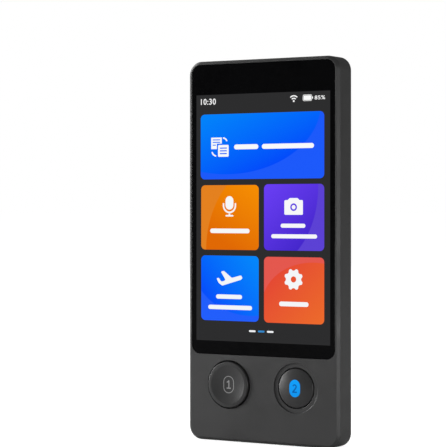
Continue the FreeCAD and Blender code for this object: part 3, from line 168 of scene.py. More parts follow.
@dataclass(frozen=True)
class Finish:
    """A made surface: its colour, how it scatters light, and the fine pattern that its making left.

    grain_mm is the size of that pattern and relief_mm its height. mottle is how far the colour moves towards
    second over mottle_mm, and roughness_spread how much the roughness varies with it.
    """

    name: str
    colour: str
    second: str
    roughness: float
    specular: float = 0.5
    metallic: float = 0.0
    grain_mm: float = 0.3
    relief_mm: float = 0.01
    mottle_mm: float = 9.0
    roughness_spread: float = 0.06
    grain: Grain = Grain.EVEN
    coat: float = 0.0

    def material(self) -> bpy.types.Material:
        """Build the finish as a node material.

        Returns:
            The new material.
        """
        material, tree, shader = bare_material(self.name, {
            "Metallic": self.metallic, "Specular IOR Level": self.specular, "Coat Weight": self.coat})
        place = add_node(tree, "ShaderNodeTexCoord").outputs["Object"]
        stretch = tuple(value / (self.grain_mm * MM) for value in self.grain.value)
        fine_place = add_node(tree, "ShaderNodeMapping", None, {"Vector": place, "Scale": stretch})
        fine = noise(tree, fine_place.outputs[0], 1.0, 2.0)
        broad = noise(tree, place, 1 / (self.mottle_mm * MM), 3.0)
        both = add_node(tree, "ShaderNodeMath", {"operation": "ADD", "use_clamp": True}, {0: fine, 1: broad})
        colour = mixed(tree, ranged(tree, both.outputs[0], MIX_SPAN), self.colour, self.second)
        rough = ranged(tree, broad, NOISE_SPAN,
                       (self.roughness - self.roughness_spread, self.roughness + self.roughness_spread))
        bump = add_node(tree, "ShaderNodeBump", None,
                        {"Height": fine, "Distance": self.relief_mm * MM, "Strength": BUMP_STRENGTH})
        tree.links.new(colour, shader.inputs["Base Color"])
        tree.links.new(rough, shader.inputs["Roughness"])
        tree.links.new(bump.outputs["Normal"], shader.inputs["Normal"])
        return material


@dataclass(frozen=True)
class LitPanel:
    """Lit stretch of a display or a light window: a gradient, and a paler part beyond an ellipse.

    start and end are the colours at the two ends of the gradient, which runs from start_at to end_at. Outside
    the ellipse with its middle at centre and half axes as reach, the colour is pale. pixel_mm is the pitch of
    the display's cells, drawn coarser than real so that it shows close up.
    """

    name: str
    start: str
    end: str
    pale: str
    start_at: Pair
    end_at: Pair
    centre: Pair = (0.0, 0.0)
    reach: Pair = (1000.0, 1000.0)
    pixel_mm: float = 0.25

    def material(self) -> bpy.types.Material:
        """Build the panel as a material that gives its own light behind a glossy face.

        Returns:
            The new material.
        """
        material, tree, shader = bare_material(self.name, {
            "Base Color": linear(UNLIT), "Specular IOR Level": FACE_GLOSS, "Emission Strength": 1.0})
        place = add_node(tree, "ShaderNodeTexCoord").outputs["Object"]
        run = Vector((self.end_at[0] - self.start_at[0], 0, self.end_at[1] - self.start_at[1])) * MM
        start = (self.start_at[0] * MM, 0, self.start_at[1] * MM)
        from_start = computed(tree, "VectorMath", "SUBTRACT", place, start)
        per_run = tuple(run / run.length_squared)
        along = computed(tree, "VectorMath", "DOT_PRODUCT", from_start.outputs[0], per_run)
        gradient = mixed(tree, ranged(tree, along.outputs["Value"], (0.0, 1.0)), self.start, self.end)
        from_centre = add_node(tree, "ShaderNodeMapping", {"vector_type": "TEXTURE"}, {
            "Vector": place, "Location": (self.centre[0] * MM, 0, self.centre[1] * MM),
            "Scale": (self.reach[0] * MM, 1000, self.reach[1] * MM)})
        radius = computed(tree, "VectorMath", "LENGTH", from_centre.outputs[0]).outputs["Value"]
        tinted = mixed(tree, ranged(tree, radius, PALE_EDGE), gradient, self.pale)
        cells = add_node(tree, "ShaderNodeTexVoronoi", {"feature": "DISTANCE_TO_EDGE"}, {
            "Vector": place, "Scale": 1 / (self.pixel_mm * MM), "Randomness": 0.0})
        lit = ranged(tree, cells.outputs["Distance"], CELL_LINE, CELL_GLOW)
        glow = add_node(tree, "ShaderNodeVectorMath", {"operation": "SCALE"}, {0: tinted, "Scale": lit})
        rough = ranged(tree, noise(tree, place, SMEAR_SCALE, 3.0), (0.0, 1.0), SMEAR_ROUGHNESS)
        tree.links.new(glow.outputs[0], shader.inputs["Emission Color"])
        tree.links.new(rough, shader.inputs["Roughness"])
        return material


def emptied(holder: bpy.types.Material | bpy.types.World) -> Tree:
    """Turn on the nodes of a material or world and return its tree without any."""
    holder.use_nodes = True
    holder.node_tree.nodes.clear()
    return holder.node_tree


def bare_material(name: str, inputs: dict[str, Any]) -> tuple[bpy.types.Material, Tree, bpy.types.Node]:
    """Make an empty node material with a principled shader on its output.

    Args:
        name: Name of the finish.
        inputs: Values of the shader's uniform inputs.

    Returns:
        The material, its tree and its shader.
    """
    material = bpy.data.materials.new(name)
    tree = emptied(material)
    shader = add_node(tree, "ShaderNodeBsdfPrincipled", None, inputs)
    add_node(tree, "ShaderNodeOutputMaterial", None, {"Surface": shader.outputs["BSDF"]})
    return material, tree, shader


# Injection-moulded ABS with a spark-eroded texture: an even, nearly black grey with a dull sheen.
CASE_ABS = Finish("spark textured ABS", "#313131", "#363636", 0.42, 0.52, grain_mm=0.16, relief_mm=0.012)
# The same ABS from a finer tool, on the caps and keys: a little smoother.
CAP_ABS = Finish("fine textured ABS", "#2e2e2e", "#333333", 0.36, 0.42, grain_mm=0.12, relief_mm=0.006)
# Aluminosilicate glass over black ink, with an anti-reflective coat: close to black, and mirror smooth.
INKED_GLASS = Finish("ink backed glass", "#060607", "#09090a", 0.05, 0.05, grain_mm=3.0, relief_mm=0.0,
                     mottle_mm=25.0, roughness_spread=0.02)
# Tinted polycarbonate: a dark polished strip that lets the lens and the flash show a little.
WINDOW_PC = Finish("tinted polycarbonate", "#222222", "#252525", 0.12, 0.2, grain_mm=1.5, relief_mm=0.0,
                   mottle_mm=15.0, roughness_spread=0.03)
# Frosted polycarbonate of the diffuser and the light guides inside: pale grey and diffuse.
FROSTED_PC = Finish("frosted polycarbonate", "#8d8d8b", "#9a9a98", 0.4, 0.4, grain_mm=0.2, relief_mm=0.01)
# The flash seen through the tinted window: the same pale plastic, smoked to a dark grey.
SMOKED_PC = Finish("smoked polycarbonate", "#3c3c3c", "#484848", 0.35, 0.3, grain_mm=0.25, relief_mm=0.01)
# Anodised aluminium ring round the lens, behind the tint: a satin mid grey.
LENS_BEZEL = Finish("anodised aluminium", "#5a5a5a", "#6a6a6a", 0.42, 0.4, 0.3, grain_mm=0.2,
                    relief_mm=0.002)
# Grey ink printed on the cap's mark: matt and even.
MARK_INK = Finish("printed grey ink", "#8c8c8c", "#979797", 0.55, 0.3, grain_mm=0.1, relief_mm=0.003)
# Camera lens of coated glass: black with a violet cast.
LENS_GLASS = Finish("coated lens glass", "#101016", "#181622", 0.05, 0.6, grain_mm=0.5, relief_mm=0.0,
                    mottle_mm=1.0, roughness_spread=0.02, coat=0.5)
# Moulded black nylon inside: matt.
BLACK_NYLON = Finish("black nylon", "#161616", "#1c1c1c", 0.6, 0.3, grain_mm=0.3)
# Silicone rubber: matt black with a soft bloom.
BLACK_SILICONE = Finish("black silicone rubber", "#101010", "#181818", 0.8, 0.3, grain_mm=0.4)
# Acrylic foam tape: flat black, without any sheen.
FOAM_TAPE = Finish("black foam tape", "#0b0b0b", "#121212", 0.85, 0.2, grain_mm=0.25, relief_mm=0.02)
# Glass-epoxy board under green solder mask: satin, with the weave just showing.
SOLDER_MASK = Finish("green solder mask", "#0f3d26", "#174a30", 0.35, 0.5, grain_mm=0.4, relief_mm=0.01)
# Aluminium laminate of a pouch cell: pale grey, creased a little.
POUCH_FOIL = Finish("aluminium laminate foil", "#a5a7aa", "#b4b6b8", 0.38, 0.5, 0.7, grain_mm=1.6,
                    relief_mm=0.05)
# Polyimide film: amber and satin.
POLYIMIDE = Finish("polyimide film", "#8a4b12", "#9c5a1c", 0.35, 0.5, grain_mm=0.5)
# Nickel-plated steel sheet, rolled and pressed: bright with a fine direction.
PLATED_STEEL = Finish("nickel plated steel", "#b9babd", "#a8a9ac", 0.32, 0.5, 1.0, grain_mm=0.25,
                      relief_mm=0.004, grain=Grain.BRUSHED_UP)
# Gold-plated spring contacts: warm and bright.
GOLD_CONTACT = Finish("gold plated contact", "#d1a54a", "#c3963c", 0.25, 0.5, 1.0, grain_mm=0.3,
                      relief_mm=0.002, grain=Grain.BRUSHED_ACROSS)

SLOT_FINISHES = {
    "case_plastic": CASE_ABS,
    "cover_glass": INKED_GLASS,
    "display": INKED_GLASS,
    "dark_window": WINDOW_PC,
    "light_window": FROSTED_PC,
    "lit_window": FROSTED_PC,
    "black_plastic": BLACK_NYLON,
    "black_rubber": BLACK_SILICONE,
    "black_tape": FOAM_TAPE,
    "circuit_board": SOLDER_MASK,
    "battery_pouch": POUCH_FOIL,
    "flex": POLYIMIDE,
    "steel": PLATED_STEEL,
}

MATERIALS: dict[str, bpy.types.Material] = {}


def dressed(finish: Finish | LitPanel) -> bpy.types.Material:
    """Return a finish's material, made the first time it is asked for."""
    if finish.name not in MATERIALS:
        MATERIALS[finish.name] = finish.material()
    return MATERIALS[finish.name]


# Places and meshes


@dataclass(frozen=True)
class Datum:
    """The case's place in the frame: its front plane, half width and height, in millimetres."""

    front: float
    half_width: float
    height: float

    def point(self, x: float, depth: float, z: float) -> Vector:
        """Turn a place in millimetres into a point of the frame in metres."""
        return Vector((x, self.front + depth, z)) * MM


@cache
def datum() -> Datum:
    """Return the case's place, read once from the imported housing."""
    low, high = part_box("front_housing")
    return Datum(low.y / MM, high.x / MM, high.z / MM)


def span(node: str) -> tuple[Vector, Vector]:
    """Return the corners of a node's box in millimetres, with y as the depth behind the front plane."""
    front = Vector((0, datum().front, 0))
    low, high = (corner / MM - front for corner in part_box(node))
    return low, high


@dataclass(frozen=True)
class Outline:
    """Rectangle with round corners in the plane of the front face."""

    x0: float
    x1: float
    z0: float
    z1: float
    radius: float = 0.0
    steps: int = 16

    @classmethod
    def of(cls, node: str, radius: float = 0.0, grow: float = 0.0, steps: int = 16) -> "Outline":
        """Take the outline of a node's box, grown by an amount on every side."""
        low, high = span(node)
        return cls(low.x - grow, high.x + grow, low.z - grow, high.z + grow, radius, steps)

    def inset(self, amount: float) -> "Outline":
        """Draw the outline in by an amount, corners included."""
        radius = max(self.radius - amount, 0.0)
        return Outline(self.x0 + amount, self.x1 - amount, self.z0 + amount, self.z1 - amount,
                       radius, self.steps)

    def points(self) -> list[Pair]:
        """List the outline's points anticlockwise, seen from the front.

        Returns:
            Points as x and z.
        """
        r = min(self.radius, (self.x1 - self.x0) / 2, (self.z1 - self.z0) / 2)
        centres = ((self.x1 - r, self.z0 + r, -90), (self.x1 - r, self.z1 - r, 0),
                   (self.x0 + r, self.z1 - r, 90), (self.x0 + r, self.z0 + r, 180))
        result = []
        for x, z, start in centres:
            steps = self.steps if r > 0 else 0
            for step in range(steps + 1):
                angle = math.radians(start + 90 * step / max(steps, 1))
                point = (x + r * math.cos(angle), z + r * math.sin(angle))
                if not result or min(math.dist(point, result[-1]), math.dist(point, result[0])) > 1e-5:
                    result.append(point)
        return result


def pill(x: float, z: float, width: float, height: float, steps: int = 16) -> Outline:
    """Return an outline with fully round ends, given by its middle and size."""
    half = min(width, height) / 2
    return Outline(x - width / 2, x + width / 2, z - height / 2, z + height / 2, half, steps)


def softened(profile: Sequence[Pair], radius: float, steps: int = 4) -> list[Pair]:
    """Round the inner corners of an open profile.

    Args:
        profile: Corners of the profile.
        radius: How round the corners become.
        steps: Steps round each corner.

    Returns:
        The rounded profile.
    """
    result = [profile[0]]
    for before, corner, after in zip(profile, profile[1:], profile[2:]):
        middle = Vector(corner)
        back, ahead = Vector(before) - middle, Vector(after) - middle
        turn = math.pi - back.angle(ahead)
        reach = min(radius * math.tan(turn / 2), 0.45 * back.length, 0.45 * ahead.length)
        start, end = middle + back.normalized() * reach, middle + ahead.normalized() * reach
        for step in range(steps + 1):
            t = step / steps
            point = (1 - t) ** 2 * start + 2 * t * (1 - t) * middle + t ** 2 * end
            result.append((point.x, point.y))
    return result + [profile[-1]]


def new_mesh(points: Sequence[Vector], faces: Sequence[Sequence[int]]) -> Mesh:
    """Make a mesh whose faces point outwards.

    Args:
        points: Its points in metres.
        faces: Its faces as runs of point numbers.

    Returns:
        The mesh.
    """
    mesh = bpy.data.meshes.new("form")
    mesh.from_pydata(points, [], faces)
    shape = bmesh.new()
    shape.from_mesh(mesh)
    bmesh.ops.recalc_face_normals(shape, faces=shape.faces)
    shape.to_mesh(mesh)
    shape.free()
    return mesh


def loft(rings: Sequence[Sequence[Vector]]) -> Mesh:
    """Skin a run of rings with the same number of points and close both ends.

    Args:
        rings: Rings that run anticlockwise seen from the first one's side.

    Returns:
        The closed mesh.
    """
    count = len(rings[0])
    points = [point for ring in rings for point in ring]
    faces = [tuple(range(count))]
    for row in range(len(rings) - 1):
        for column in range(count):
            following = (column + 1) % count
            low, high = row * count, (row + 1) * count
            faces.append((low + following, low + column, high + column, high + following))
    faces.append(tuple(reversed(range(len(points) - count, len(points)))))
    return new_mesh(points, faces)


def turned(profile: Sequence[Pair], x: float, z: float, sides: int = 96) -> Mesh:
    """Turn a profile round the axis through x and z, which points into the case.

    Args:
        profile: Radius and depth from the outer end of the axis to its inner end; both ends lie on the axis.
        x: Axis across.
        z: Axis height.
        sides: Sides of the turned form.

    Returns:
        The closed mesh.
    """
    inner = [pair for pair in profile if pair[0] > 0]
    points = [datum().point(x, profile[0][1], z)]
    for radius, depth in inner:
        for side in range(sides):
            angle = math.tau * side / sides
            points.append(datum().point(x + radius * math.cos(angle), depth, z + radius * math.sin(angle)))
    points.append(datum().point(x, profile[-1][1], z))
    faces = []
    for side in range(sides):
        following = (side + 1) % sides
        faces.append((0, 1 + side, 1 + following))
        for row in range(len(inner) - 1):
            low, high = 1 + row * sides, 1 + (row + 1) * sides
            faces.append((low + following, low + side, high + side, high + following))
        last = 1 + (len(inner) - 1) * sides
        faces.append((len(points) - 1, last + following, last + side))
    return new_mesh(points, faces)


def prism(outline: Outline, profile: Sequence[Pair]) -> Mesh:
    """Skin an outline along a profile of inset and depth.

    Args:
        outline: The widest outline.
        profile: Inset and depth of each ring, front first.

    Returns:
        The closed mesh.
    """
    rings = []
    for inset, depth in profile:
        rings.append([datum().point(x, depth, z) for x, z in outline.inset(inset).points()])
    return loft(rings)


def block(outline: Outline, front: float, back: float) -> Mesh:
    """Return a plain prism from one depth to another, such as a cutter."""
    return prism(outline, ((0, front), (0, back)))


def as_object(data: bpy.types.ID) -> bpy.types.Object:
    """Put a mesh, a curve, a lamp or a camera into the scene as an object at the origin."""
    holder = bpy.data.objects.new(data.name, data)
    bpy.context.scene.collection.objects.link(holder)
    return holder


def evaluated(holder: bpy.types.Object) -> Mesh:
    """Turn an object with its modifiers into a plain mesh and take the object away.

    Args:
        holder: The object, which is removed.

    Returns:
        The plain mesh.
    """
    graph = bpy.context.evaluated_depsgraph_get()
    mesh = bpy.data.meshes.new_from_object(holder.evaluated_get(graph), depsgraph=graph)
    bpy.data.objects.remove(holder)
    return mesh


def combined(mesh: Mesh, tools: Iterable[Mesh],
             operation: str = "DIFFERENCE") -> Mesh:
    """Cut tools out of a mesh, or keep only what it shares with them.

    Args:
        mesh: The mesh to work on.
        tools: Closed meshes, used one after the other.
        operation: Name of the boolean operation.

    Returns:
        The finished mesh.
    """
    holder = as_object(mesh)
    cutters = [as_object(tool) for tool in tools]
    for cutter in cutters:
        change = holder.modifiers.new("cut", "BOOLEAN")
        change.operation = operation
        change.object = cutter
        change.solver = "EXACT"
    result = evaluated(holder)
    for cutter in cutters:
        bpy.data.objects.remove(cutter)
    return result


def shaded(mesh: Mesh, sharp_degrees: float = 30.0) -> Mesh:
    """Smooth a mesh between its sharp edges, and let its flat faces keep their own direction.

    Args:
        mesh: The finished mesh.
        sharp_degrees: Edges that turn by more than this stay sharp.

    Returns:
        The shaded mesh.
    """
    mesh.shade_smooth()
    mesh.set_sharp_from_angle(angle=math.radians(sharp_degrees))
    holder = as_object(mesh)
    weight = holder.modifiers.new("weight", "WEIGHTED_NORMAL")
    weight.keep_sharp = True
    return evaluated(holder)


def publish(name: str, mesh: Mesh, finish: Finish | LitPanel, body: str = "housing",
            replaced: Sequence[str] = ()) -> bpy.types.Object:
    """Make a finished mesh a piece of the part.

    Args:
        name: Name of the piece.
        mesh: Its mesh.
        finish: Its finish.
        body: Body that it moves with.
        replaced: Nodes of the frame that it stands for.

    Returns:
        The piece.
    """
    mesh.name = name
    piece = as_object(mesh)
    piece.name = name
    mesh.materials.clear()
    mesh.materials.append(dressed(finish))
    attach(piece, body)
    if replaced:
        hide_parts(*replaced)
    LOG.info("%s: %d faces, rides on %s", name, len(mesh.polygons), body)
    return piece


# Flat shapes for the display and the marks


def flat(loops: Sequence[Sequence[Pair]], front: float, thickness: float) -> Mesh:
    """Fill closed loops, with holes where one lies inside another, as a thin plate.

    Args:
        loops: Closed loops of x and z.
        front: Depth of the plate's face.
        thickness: Thickness of the plate.

    Returns:
        The plate's mesh.
    """
    curve = bpy.data.curves.new("flat", "CURVE")
    curve.dimensions = "2D"
    curve.fill_mode = "BOTH"
    curve.extrude = thickness / 2
    for loop in loops:
        spline = curve.splines.new("POLY")
        spline.points.add(len(loop) - 1)
        for point, (x, z) in zip(spline.points, loop):
            point.co = (x, z, 0, 1)
        spline.use_cyclic_u = True
    return stood_up(curve, front + thickness / 2)


def digits(text: str, middle: Pair, size: Pair, front: float, thickness: float) -> Mesh:
    """Set a line of digits as a thin plate that fills a given width and height.

    Args:
        text: The digits.
        middle: Middle of the line as x and z.
        size: Width and height of the line.
        front: Depth of the plate's face.
        thickness: Thickness of the plate.

    Returns:
        The plate's mesh.
    """
    curve = bpy.data.curves.new("digits", "FONT")
    curve.body = text
    curve.resolution_u = 4
    curve.offset = 0.012
    curve.space_character = 1.1
    plain = evaluated(as_object(curve))
    xs = [vertex.co.x for vertex in plain.vertices]
    ys = [vertex.co.y for vertex in plain.vertices]
    scale_x, scale_y = size[0] / (max(xs) - min(xs)), size[1] / (max(ys) - min(ys))
    loops = []
    for chain in border_loops(plain):
        loops.append([((x - (max(xs) + min(xs)) / 2) * scale_x + middle[0],
                       (y - (max(ys) + min(ys)) / 2) * scale_y + middle[1]) for x, y in chain])
    return flat(loops, front, thickness)


# A plain 1 with a flag and a foot, drawn about the origin at a height of 1.
NUMERAL_ONE = ((-0.29, -0.5), (0.29, -0.5), (0.29, -0.36), (0.08, -0.36), (0.08, 0.5), (-0.04, 0.5),
               (-0.3, 0.3), (-0.22, 0.19), (-0.07, 0.3), (-0.07, -0.36), (-0.29, -0.36))


def numeral_two(stroke: float = 0.15, half: float = 0.29) -> list[Pair]:
    """Draw a plain 2 about the origin at a height of 1: a round top that runs down to a straight foot.

    Args:
        stroke: Thickness of its stroke.
        half: Half width of its round top.

    Returns:
        The closed outline.
    """
    foot_top = stroke - 0.5
    outer = ring_points(0.0, 0.5 - half, half, 165, -38, 20)
    inner = ring_points(0.0, 0.5 - half, half - stroke, -38, 165, 20)
    foot = [(-0.06, foot_top), (0.31, foot_top), (0.31, -0.5), (-0.31, -0.5), (-0.31, stroke * 0.8 - 0.5)]
    return outer + foot + inner


def border_loops(mesh: Mesh) -> list[list[Pair]]:
    """Trace the borders of a flat mesh that lies in the XY plane.

    Args:
        mesh: The flat mesh.

    Returns:
        Closed loops of x and y.
    """
    uses: dict[tuple[int, int], int] = {}
    for face in mesh.polygons:
        for start, end in face.edge_keys:
            uses[(start, end)] = uses.get((start, end), 0) + 1
    neighbours: dict[int, list[int]] = {}
    for (start, end), count in uses.items():
        if count == 1:
            neighbours.setdefault(start, []).append(end)
            neighbours.setdefault(end, []).append(start)
    loops = []
    while neighbours:
        first = next(iter(neighbours))
        chain, current = [], first
        while current in neighbours:
            chain.append(current)
            following = [number for number in neighbours.pop(current) if number in neighbours]
            current = following[0] if following else first
        loops.append([(mesh.vertices[number].co.x, mesh.vertices[number].co.y) for number in chain])
    return loops


def stood_up(curve: bpy.types.Curve, depth: float) -> Mesh:
    """Make a flat curve a mesh and stand it up in the front plane.

    Args:
        curve: Curve drawn in millimetres in the XY plane.
        depth: Depth of the middle of its thickness.

    Returns:
        The mesh in its place.
    """
    mesh = evaluated(as_object(curve))
    upright = Matrix.Translation(datum().point(0, depth, 0)) @ Matrix.Rotation(math.radians(90), 4, "X")
    mesh.transform(upright @ Matrix.Scale(MM, 4))
    return mesh


def draped(mesh: Mesh, surface: Surface, step: float = 0.3) -> Mesh:
    """Bend a flat plate onto a curved face, keeping its thickness.

    Args:
        mesh: Plate whose depths count from the face.
        surface: Depth of the face at an x and z.
        step: Greatest width of the strips that the plate is cut into, so that it can bend.

    Returns:
        The same mesh, bent.
    """
    shape = bmesh.new()
    shape.from_mesh(mesh)
    for axis in (0, 2):
        values = [vertex.co[axis] for vertex in shape.verts]
        cuts = int((max(values) - min(values)) / (step * MM)) + 1
        for number in range(1, cuts):
            place, normal = Vector(), Vector()
            place[axis] = min(values) + (max(values) - min(values)) * number / cuts
            normal[axis] = 1
            everything = shape.verts[:] + shape.edges[:] + shape.faces[:]
            bmesh.ops.bisect_plane(shape, geom=everything, plane_co=place, plane_no=normal)
    for vertex in shape.verts:
        vertex.co.y += surface(vertex.co.x / MM, vertex.co.z / MM) * MM
    shape.to_mesh(mesh)
    shape.free()
    return mesh


def ring_points(x: float, z: float, radius: float, start: float = 0.0, end: float = 360.0,
                steps: int = 48) -> list[Pair]:
    """List points of an arc, or of a whole circle.

    Args:
        x: Middle across.
        z: Middle height.
        radius: Radius of the arc.
        start: First angle in degrees.
        end: Last angle in degrees.
        steps: Steps along the arc.

    Returns:
        The points, with the last one left out of a whole circle.
    """
    whole = abs(end - start) >= 360
    count = steps if whole else steps + 1
    angles = [math.radians(start + (end - start) * step / steps) for step in range(count)]
    return [(x + radius * math.cos(angle), z + radius * math.sin(angle)) for angle in angles]


def placed(shape: Iterable[Pair], x: float, z: float, scale: float = 1.0) -> list[Pair]:
    """Move points that are drawn about the origin to a place, at a scale."""
    return [(x + across_x * scale, z + up * scale) for across_x, up in shape]


def arc_band(x: float, z: float, radius: float, width: float, start: float, end: float) -> list[Pair]:
    """List the border of a stroke of one width that follows an arc."""
    outer = ring_points(x, z, radius + width / 2, start, end, 20)
    inner = ring_points(x, z, radius - width / 2, start, end, 20)
    return outer + inner[::-1]


# What repeats


@dataclass(frozen=True)
class Array:
    """Rows and columns of one shape, made by a node tree."""

    SOCKETS = (("Geometry", "INPUT", "Geometry"), ("Shape", "INPUT", "Object"), ("Columns", "INPUT", "Int"),
               ("Rows", "INPUT", "Int"), ("Width", "INPUT", "Float"), ("Height", "INPUT", "Float"),
               ("Finish", "INPUT", "Material"), ("Geometry", "OUTPUT", "Geometry"))

    columns: int
    rows: int
    pitch_x: float
    pitch_z: float

    def tree(self) -> bpy.types.GeometryNodeTree:
        """Build the tree that repeats an object on a grid and makes it real.

        Returns:
            The tree, with inputs for the shape, the counts, the pitches and the material.
        """
        tree = bpy.data.node_groups.new("rows and columns", "GeometryNodeTree")
        for name, direction, kind in self.SOCKETS:
            tree.interface.new_socket(name, in_out=direction, socket_type=f"NodeSocket{kind}")
        given = add_node(tree, "NodeGroupInput").outputs
        grid = add_node(tree, "GeometryNodeMeshGrid", None, {
            "Size X": given["Width"], "Size Y": given["Height"],
            "Vertices X": given["Columns"], "Vertices Y": given["Rows"]})
        stood = add_node(tree, "GeometryNodeTransform", None,
                         {"Geometry": grid.outputs["Mesh"], "Rotation": (math.radians(90), 0, 0)})
        shape = add_node(tree, "GeometryNodeObjectInfo", None, {"Object": given["Shape"]})
        copies = add_node(tree, "GeometryNodeInstanceOnPoints", None,
                          {"Points": stood.outputs[0], "Instance": shape.outputs["Geometry"]})
        real = add_node(tree, "GeometryNodeRealizeInstances", None, {"Geometry": copies.outputs["Instances"]})
        dressed_copies = add_node(tree, "GeometryNodeSetMaterial", None,
                                  {"Geometry": real.outputs[0], "Material": given["Finish"]})
        add_node(tree, "NodeGroupOutput", None, {"Geometry": dressed_copies.outputs[0]})
        return tree

    def of(self, shape: Mesh, finish: Finish | LitPanel) -> Mesh:
        """Repeat a shape about its own place.

        Args:
            shape: Mesh at the middle of the array.
            finish: Finish of the copies.

        Returns:
            One mesh with every copy.
        """
        tree = self.tree()
        source = as_object(shape)
        holder = as_object(bpy.data.meshes.new("array"))
        modifier = holder.modifiers.new("array", "NODES")
        modifier.node_group = tree
        values = {
            "Shape": source,
            "Columns": self.columns,
            "Rows": self.rows,
            "Width": (self.columns - 1) * self.pitch_x * MM,
            "Height": (self.rows - 1) * self.pitch_z * MM,
            "Finish": dressed(finish),
        }
        for socket in tree.interface.items_tree:
            if socket.in_out == "INPUT" and socket.name in values:
                modifier[socket.identifier] = values[socket.name]
        result = evaluated(holder)
        bpy.data.objects.remove(source)
        return result


# Sub-assemblies

SIDE_KEYS = ("power_key", "volume_up_key", "volume_down_key")
QUARTER_TURN = [math.radians(step * 15) for step in range(7)]


@dataclass
class Housing:
    """Moulded tray with the front face and all four sides."""

    corner_radius: float = 4.75
    front_chamfer: float = 1.0
    rear_chamfer: float = 1.15
    depth: float = 9.95
    wall: float = 1.5
    front_wall: float = 2.0
    bulkhead_back: float = 4.3
    edge_softness: float = 0.2
    glass_gap: float = 0.1
    glass_radius: float = 3.2
    recess_back: float = 1.2
    lcd_gap: float = 0.2
    lcd_head: float = 1.6
    left_hole: float = 16.75
    right_hole: float = 14.0
    right_recess: float = 16.9
    right_recess_depth: float = 0.4
    hole_softness: float = 0.18
    slot_gap: float = 0.12
    port_gap: float = 0.12
    mic_x: float = 13.2
    mic_depth: float = 3.3
    mic_hole: float = 1.0

    def outline(self) -> Outline:
        """Return the case's outline from the front."""
        half = datum().half_width
        return Outline(-half, half, 0, datum().height, self.corner_radius)

    def outside(self) -> Mesh:
        """Make the solid block with softened chamfers.

        Returns:
            The closed block.
        """
        profile = (
            (self.front_chamfer + 1, 0),
            (self.front_chamfer, 0),
            (0, self.front_chamfer),
            (0, self.depth - self.rear_chamfer),
            (self.rear_chamfer, self.depth),
            (self.rear_chamfer + 1, self.depth),
        )
        return prism(self.outline(), softened(profile, self.edge_softness)[1:-1])

    def hole(self, x: float, z: float, diameter: float, face: float, back: float) -> Mesh:
        """Make the cutter of a round hole whose mouth is softened.

        Args:
            x: Middle across.
            z: Middle height.
            diameter: Diameter of the hole.
            face: Depth of the face that the hole opens in.
            back: Depth that the cutter reaches.

        Returns:
            The cutter.
        """
        r, soft = diameter / 2, self.hole_softness
        mouth = [(r + soft, face - 0.02), (r + soft * 0.3, face + soft * 0.3), (r, face + soft)]
        return turned([(0, face - 1), (r + soft, face - 1)] + mouth + [(r, back), (0, back)], x, z)

    def hollows(self) -> list[Mesh]:
        """List the cutters of the rear bay, the button bay, the glass recess and the display pocket.

        Returns:
            The cutters.
        """
        inside = self.outline().inset(self.wall)
        gap = self.glass_gap
        recess = Outline.of("cover_glass", self.glass_radius + gap, gap)
        pocket = Outline.of("lcd_cell", grow=self.lcd_gap)
        pocket = replace(pocket, z1=pocket.z1 - self.lcd_gap + self.lcd_head)
        bay_top = pocket.z0 - 1
        clear = inside.inset(0.05)
        button_bay = Outline(clear.x0, clear.x1, clear.z0, bay_top, clear.radius)
        top_relief = Outline(clear.x0, clear.x1, pocket.z1 + 1, clear.z1, 1.0)
        back = self.depth + 1
        return [
            block(recess, -1, self.recess_back),
            block(pocket, self.recess_back - 0.5, span("backlight_unit")[1].y + 0.05),
            block(inside, self.bulkhead_back, back),
            block(button_bay, self.front_wall, self.bulkhead_back + 1),
            block(top_relief, self.front_wall, self.bulkhead_back + 1),
        ]

    def side_openings(self) -> list[Mesh]:
        """List the cutters of the key slots, the port opening and the microphone hole.

        Returns:
            The cutters.
        """
        through = self.wall + 1
        outside = -datum().half_width - 1
        tools = [KeyShape(key).outline_block(self.slot_gap, outside, through) for key in SIDE_KEYS]
        tools.append(Port().shell(self.port_gap, -1.0, through))
        mic = turned(pin_profile(self.mic_hole, -1, through), 0, 0, 24)
        mic.transform(downwards(self.mic_x, self.mic_depth))
        return tools + [mic]

    def build(self) -> None:
        """Make and publish the housing."""
        left = axis_of("left_switch_body")
        right = axis_of("right_switch_body")
        tools = self.hollows() + self.side_openings()
        through = self.front_wall + 1
        tools.append(self.hole(*left, self.left_hole, 0, through))
        tools.append(self.hole(*right, self.right_recess, 0, self.right_recess_depth))
        tools.append(self.hole(*right, self.right_hole, self.right_recess_depth, through))
        mesh = shaded(combined(self.outside(), tools))
        publish("housing_shell", mesh, CASE_ABS, replaced=("front_housing",))


def pin_profile(diameter: float, front: float, back: float) -> list[Pair]:
    """Return the profile of a plain pin for turned()."""
    return [(0, front), (diameter / 2, front), (diameter / 2, back), (0, back)]


def downwards(x: float, depth: float) -> Matrix:
    """Return the move that makes a form drawn from the front plane go up from the bottom face."""
    turn = Matrix.Rotation(math.radians(90), 4, "X")
    return Matrix.Translation(datum().point(x, depth, 0)) @ turn @ Matrix.Translation(-datum().point(0, 0, 0))


def axis_of(node: str) -> Pair:
    """Return the middle of a node's box, across and up."""
    low, high = span(node)
    return (low.x + high.x) / 2, (low.z + high.z) / 2


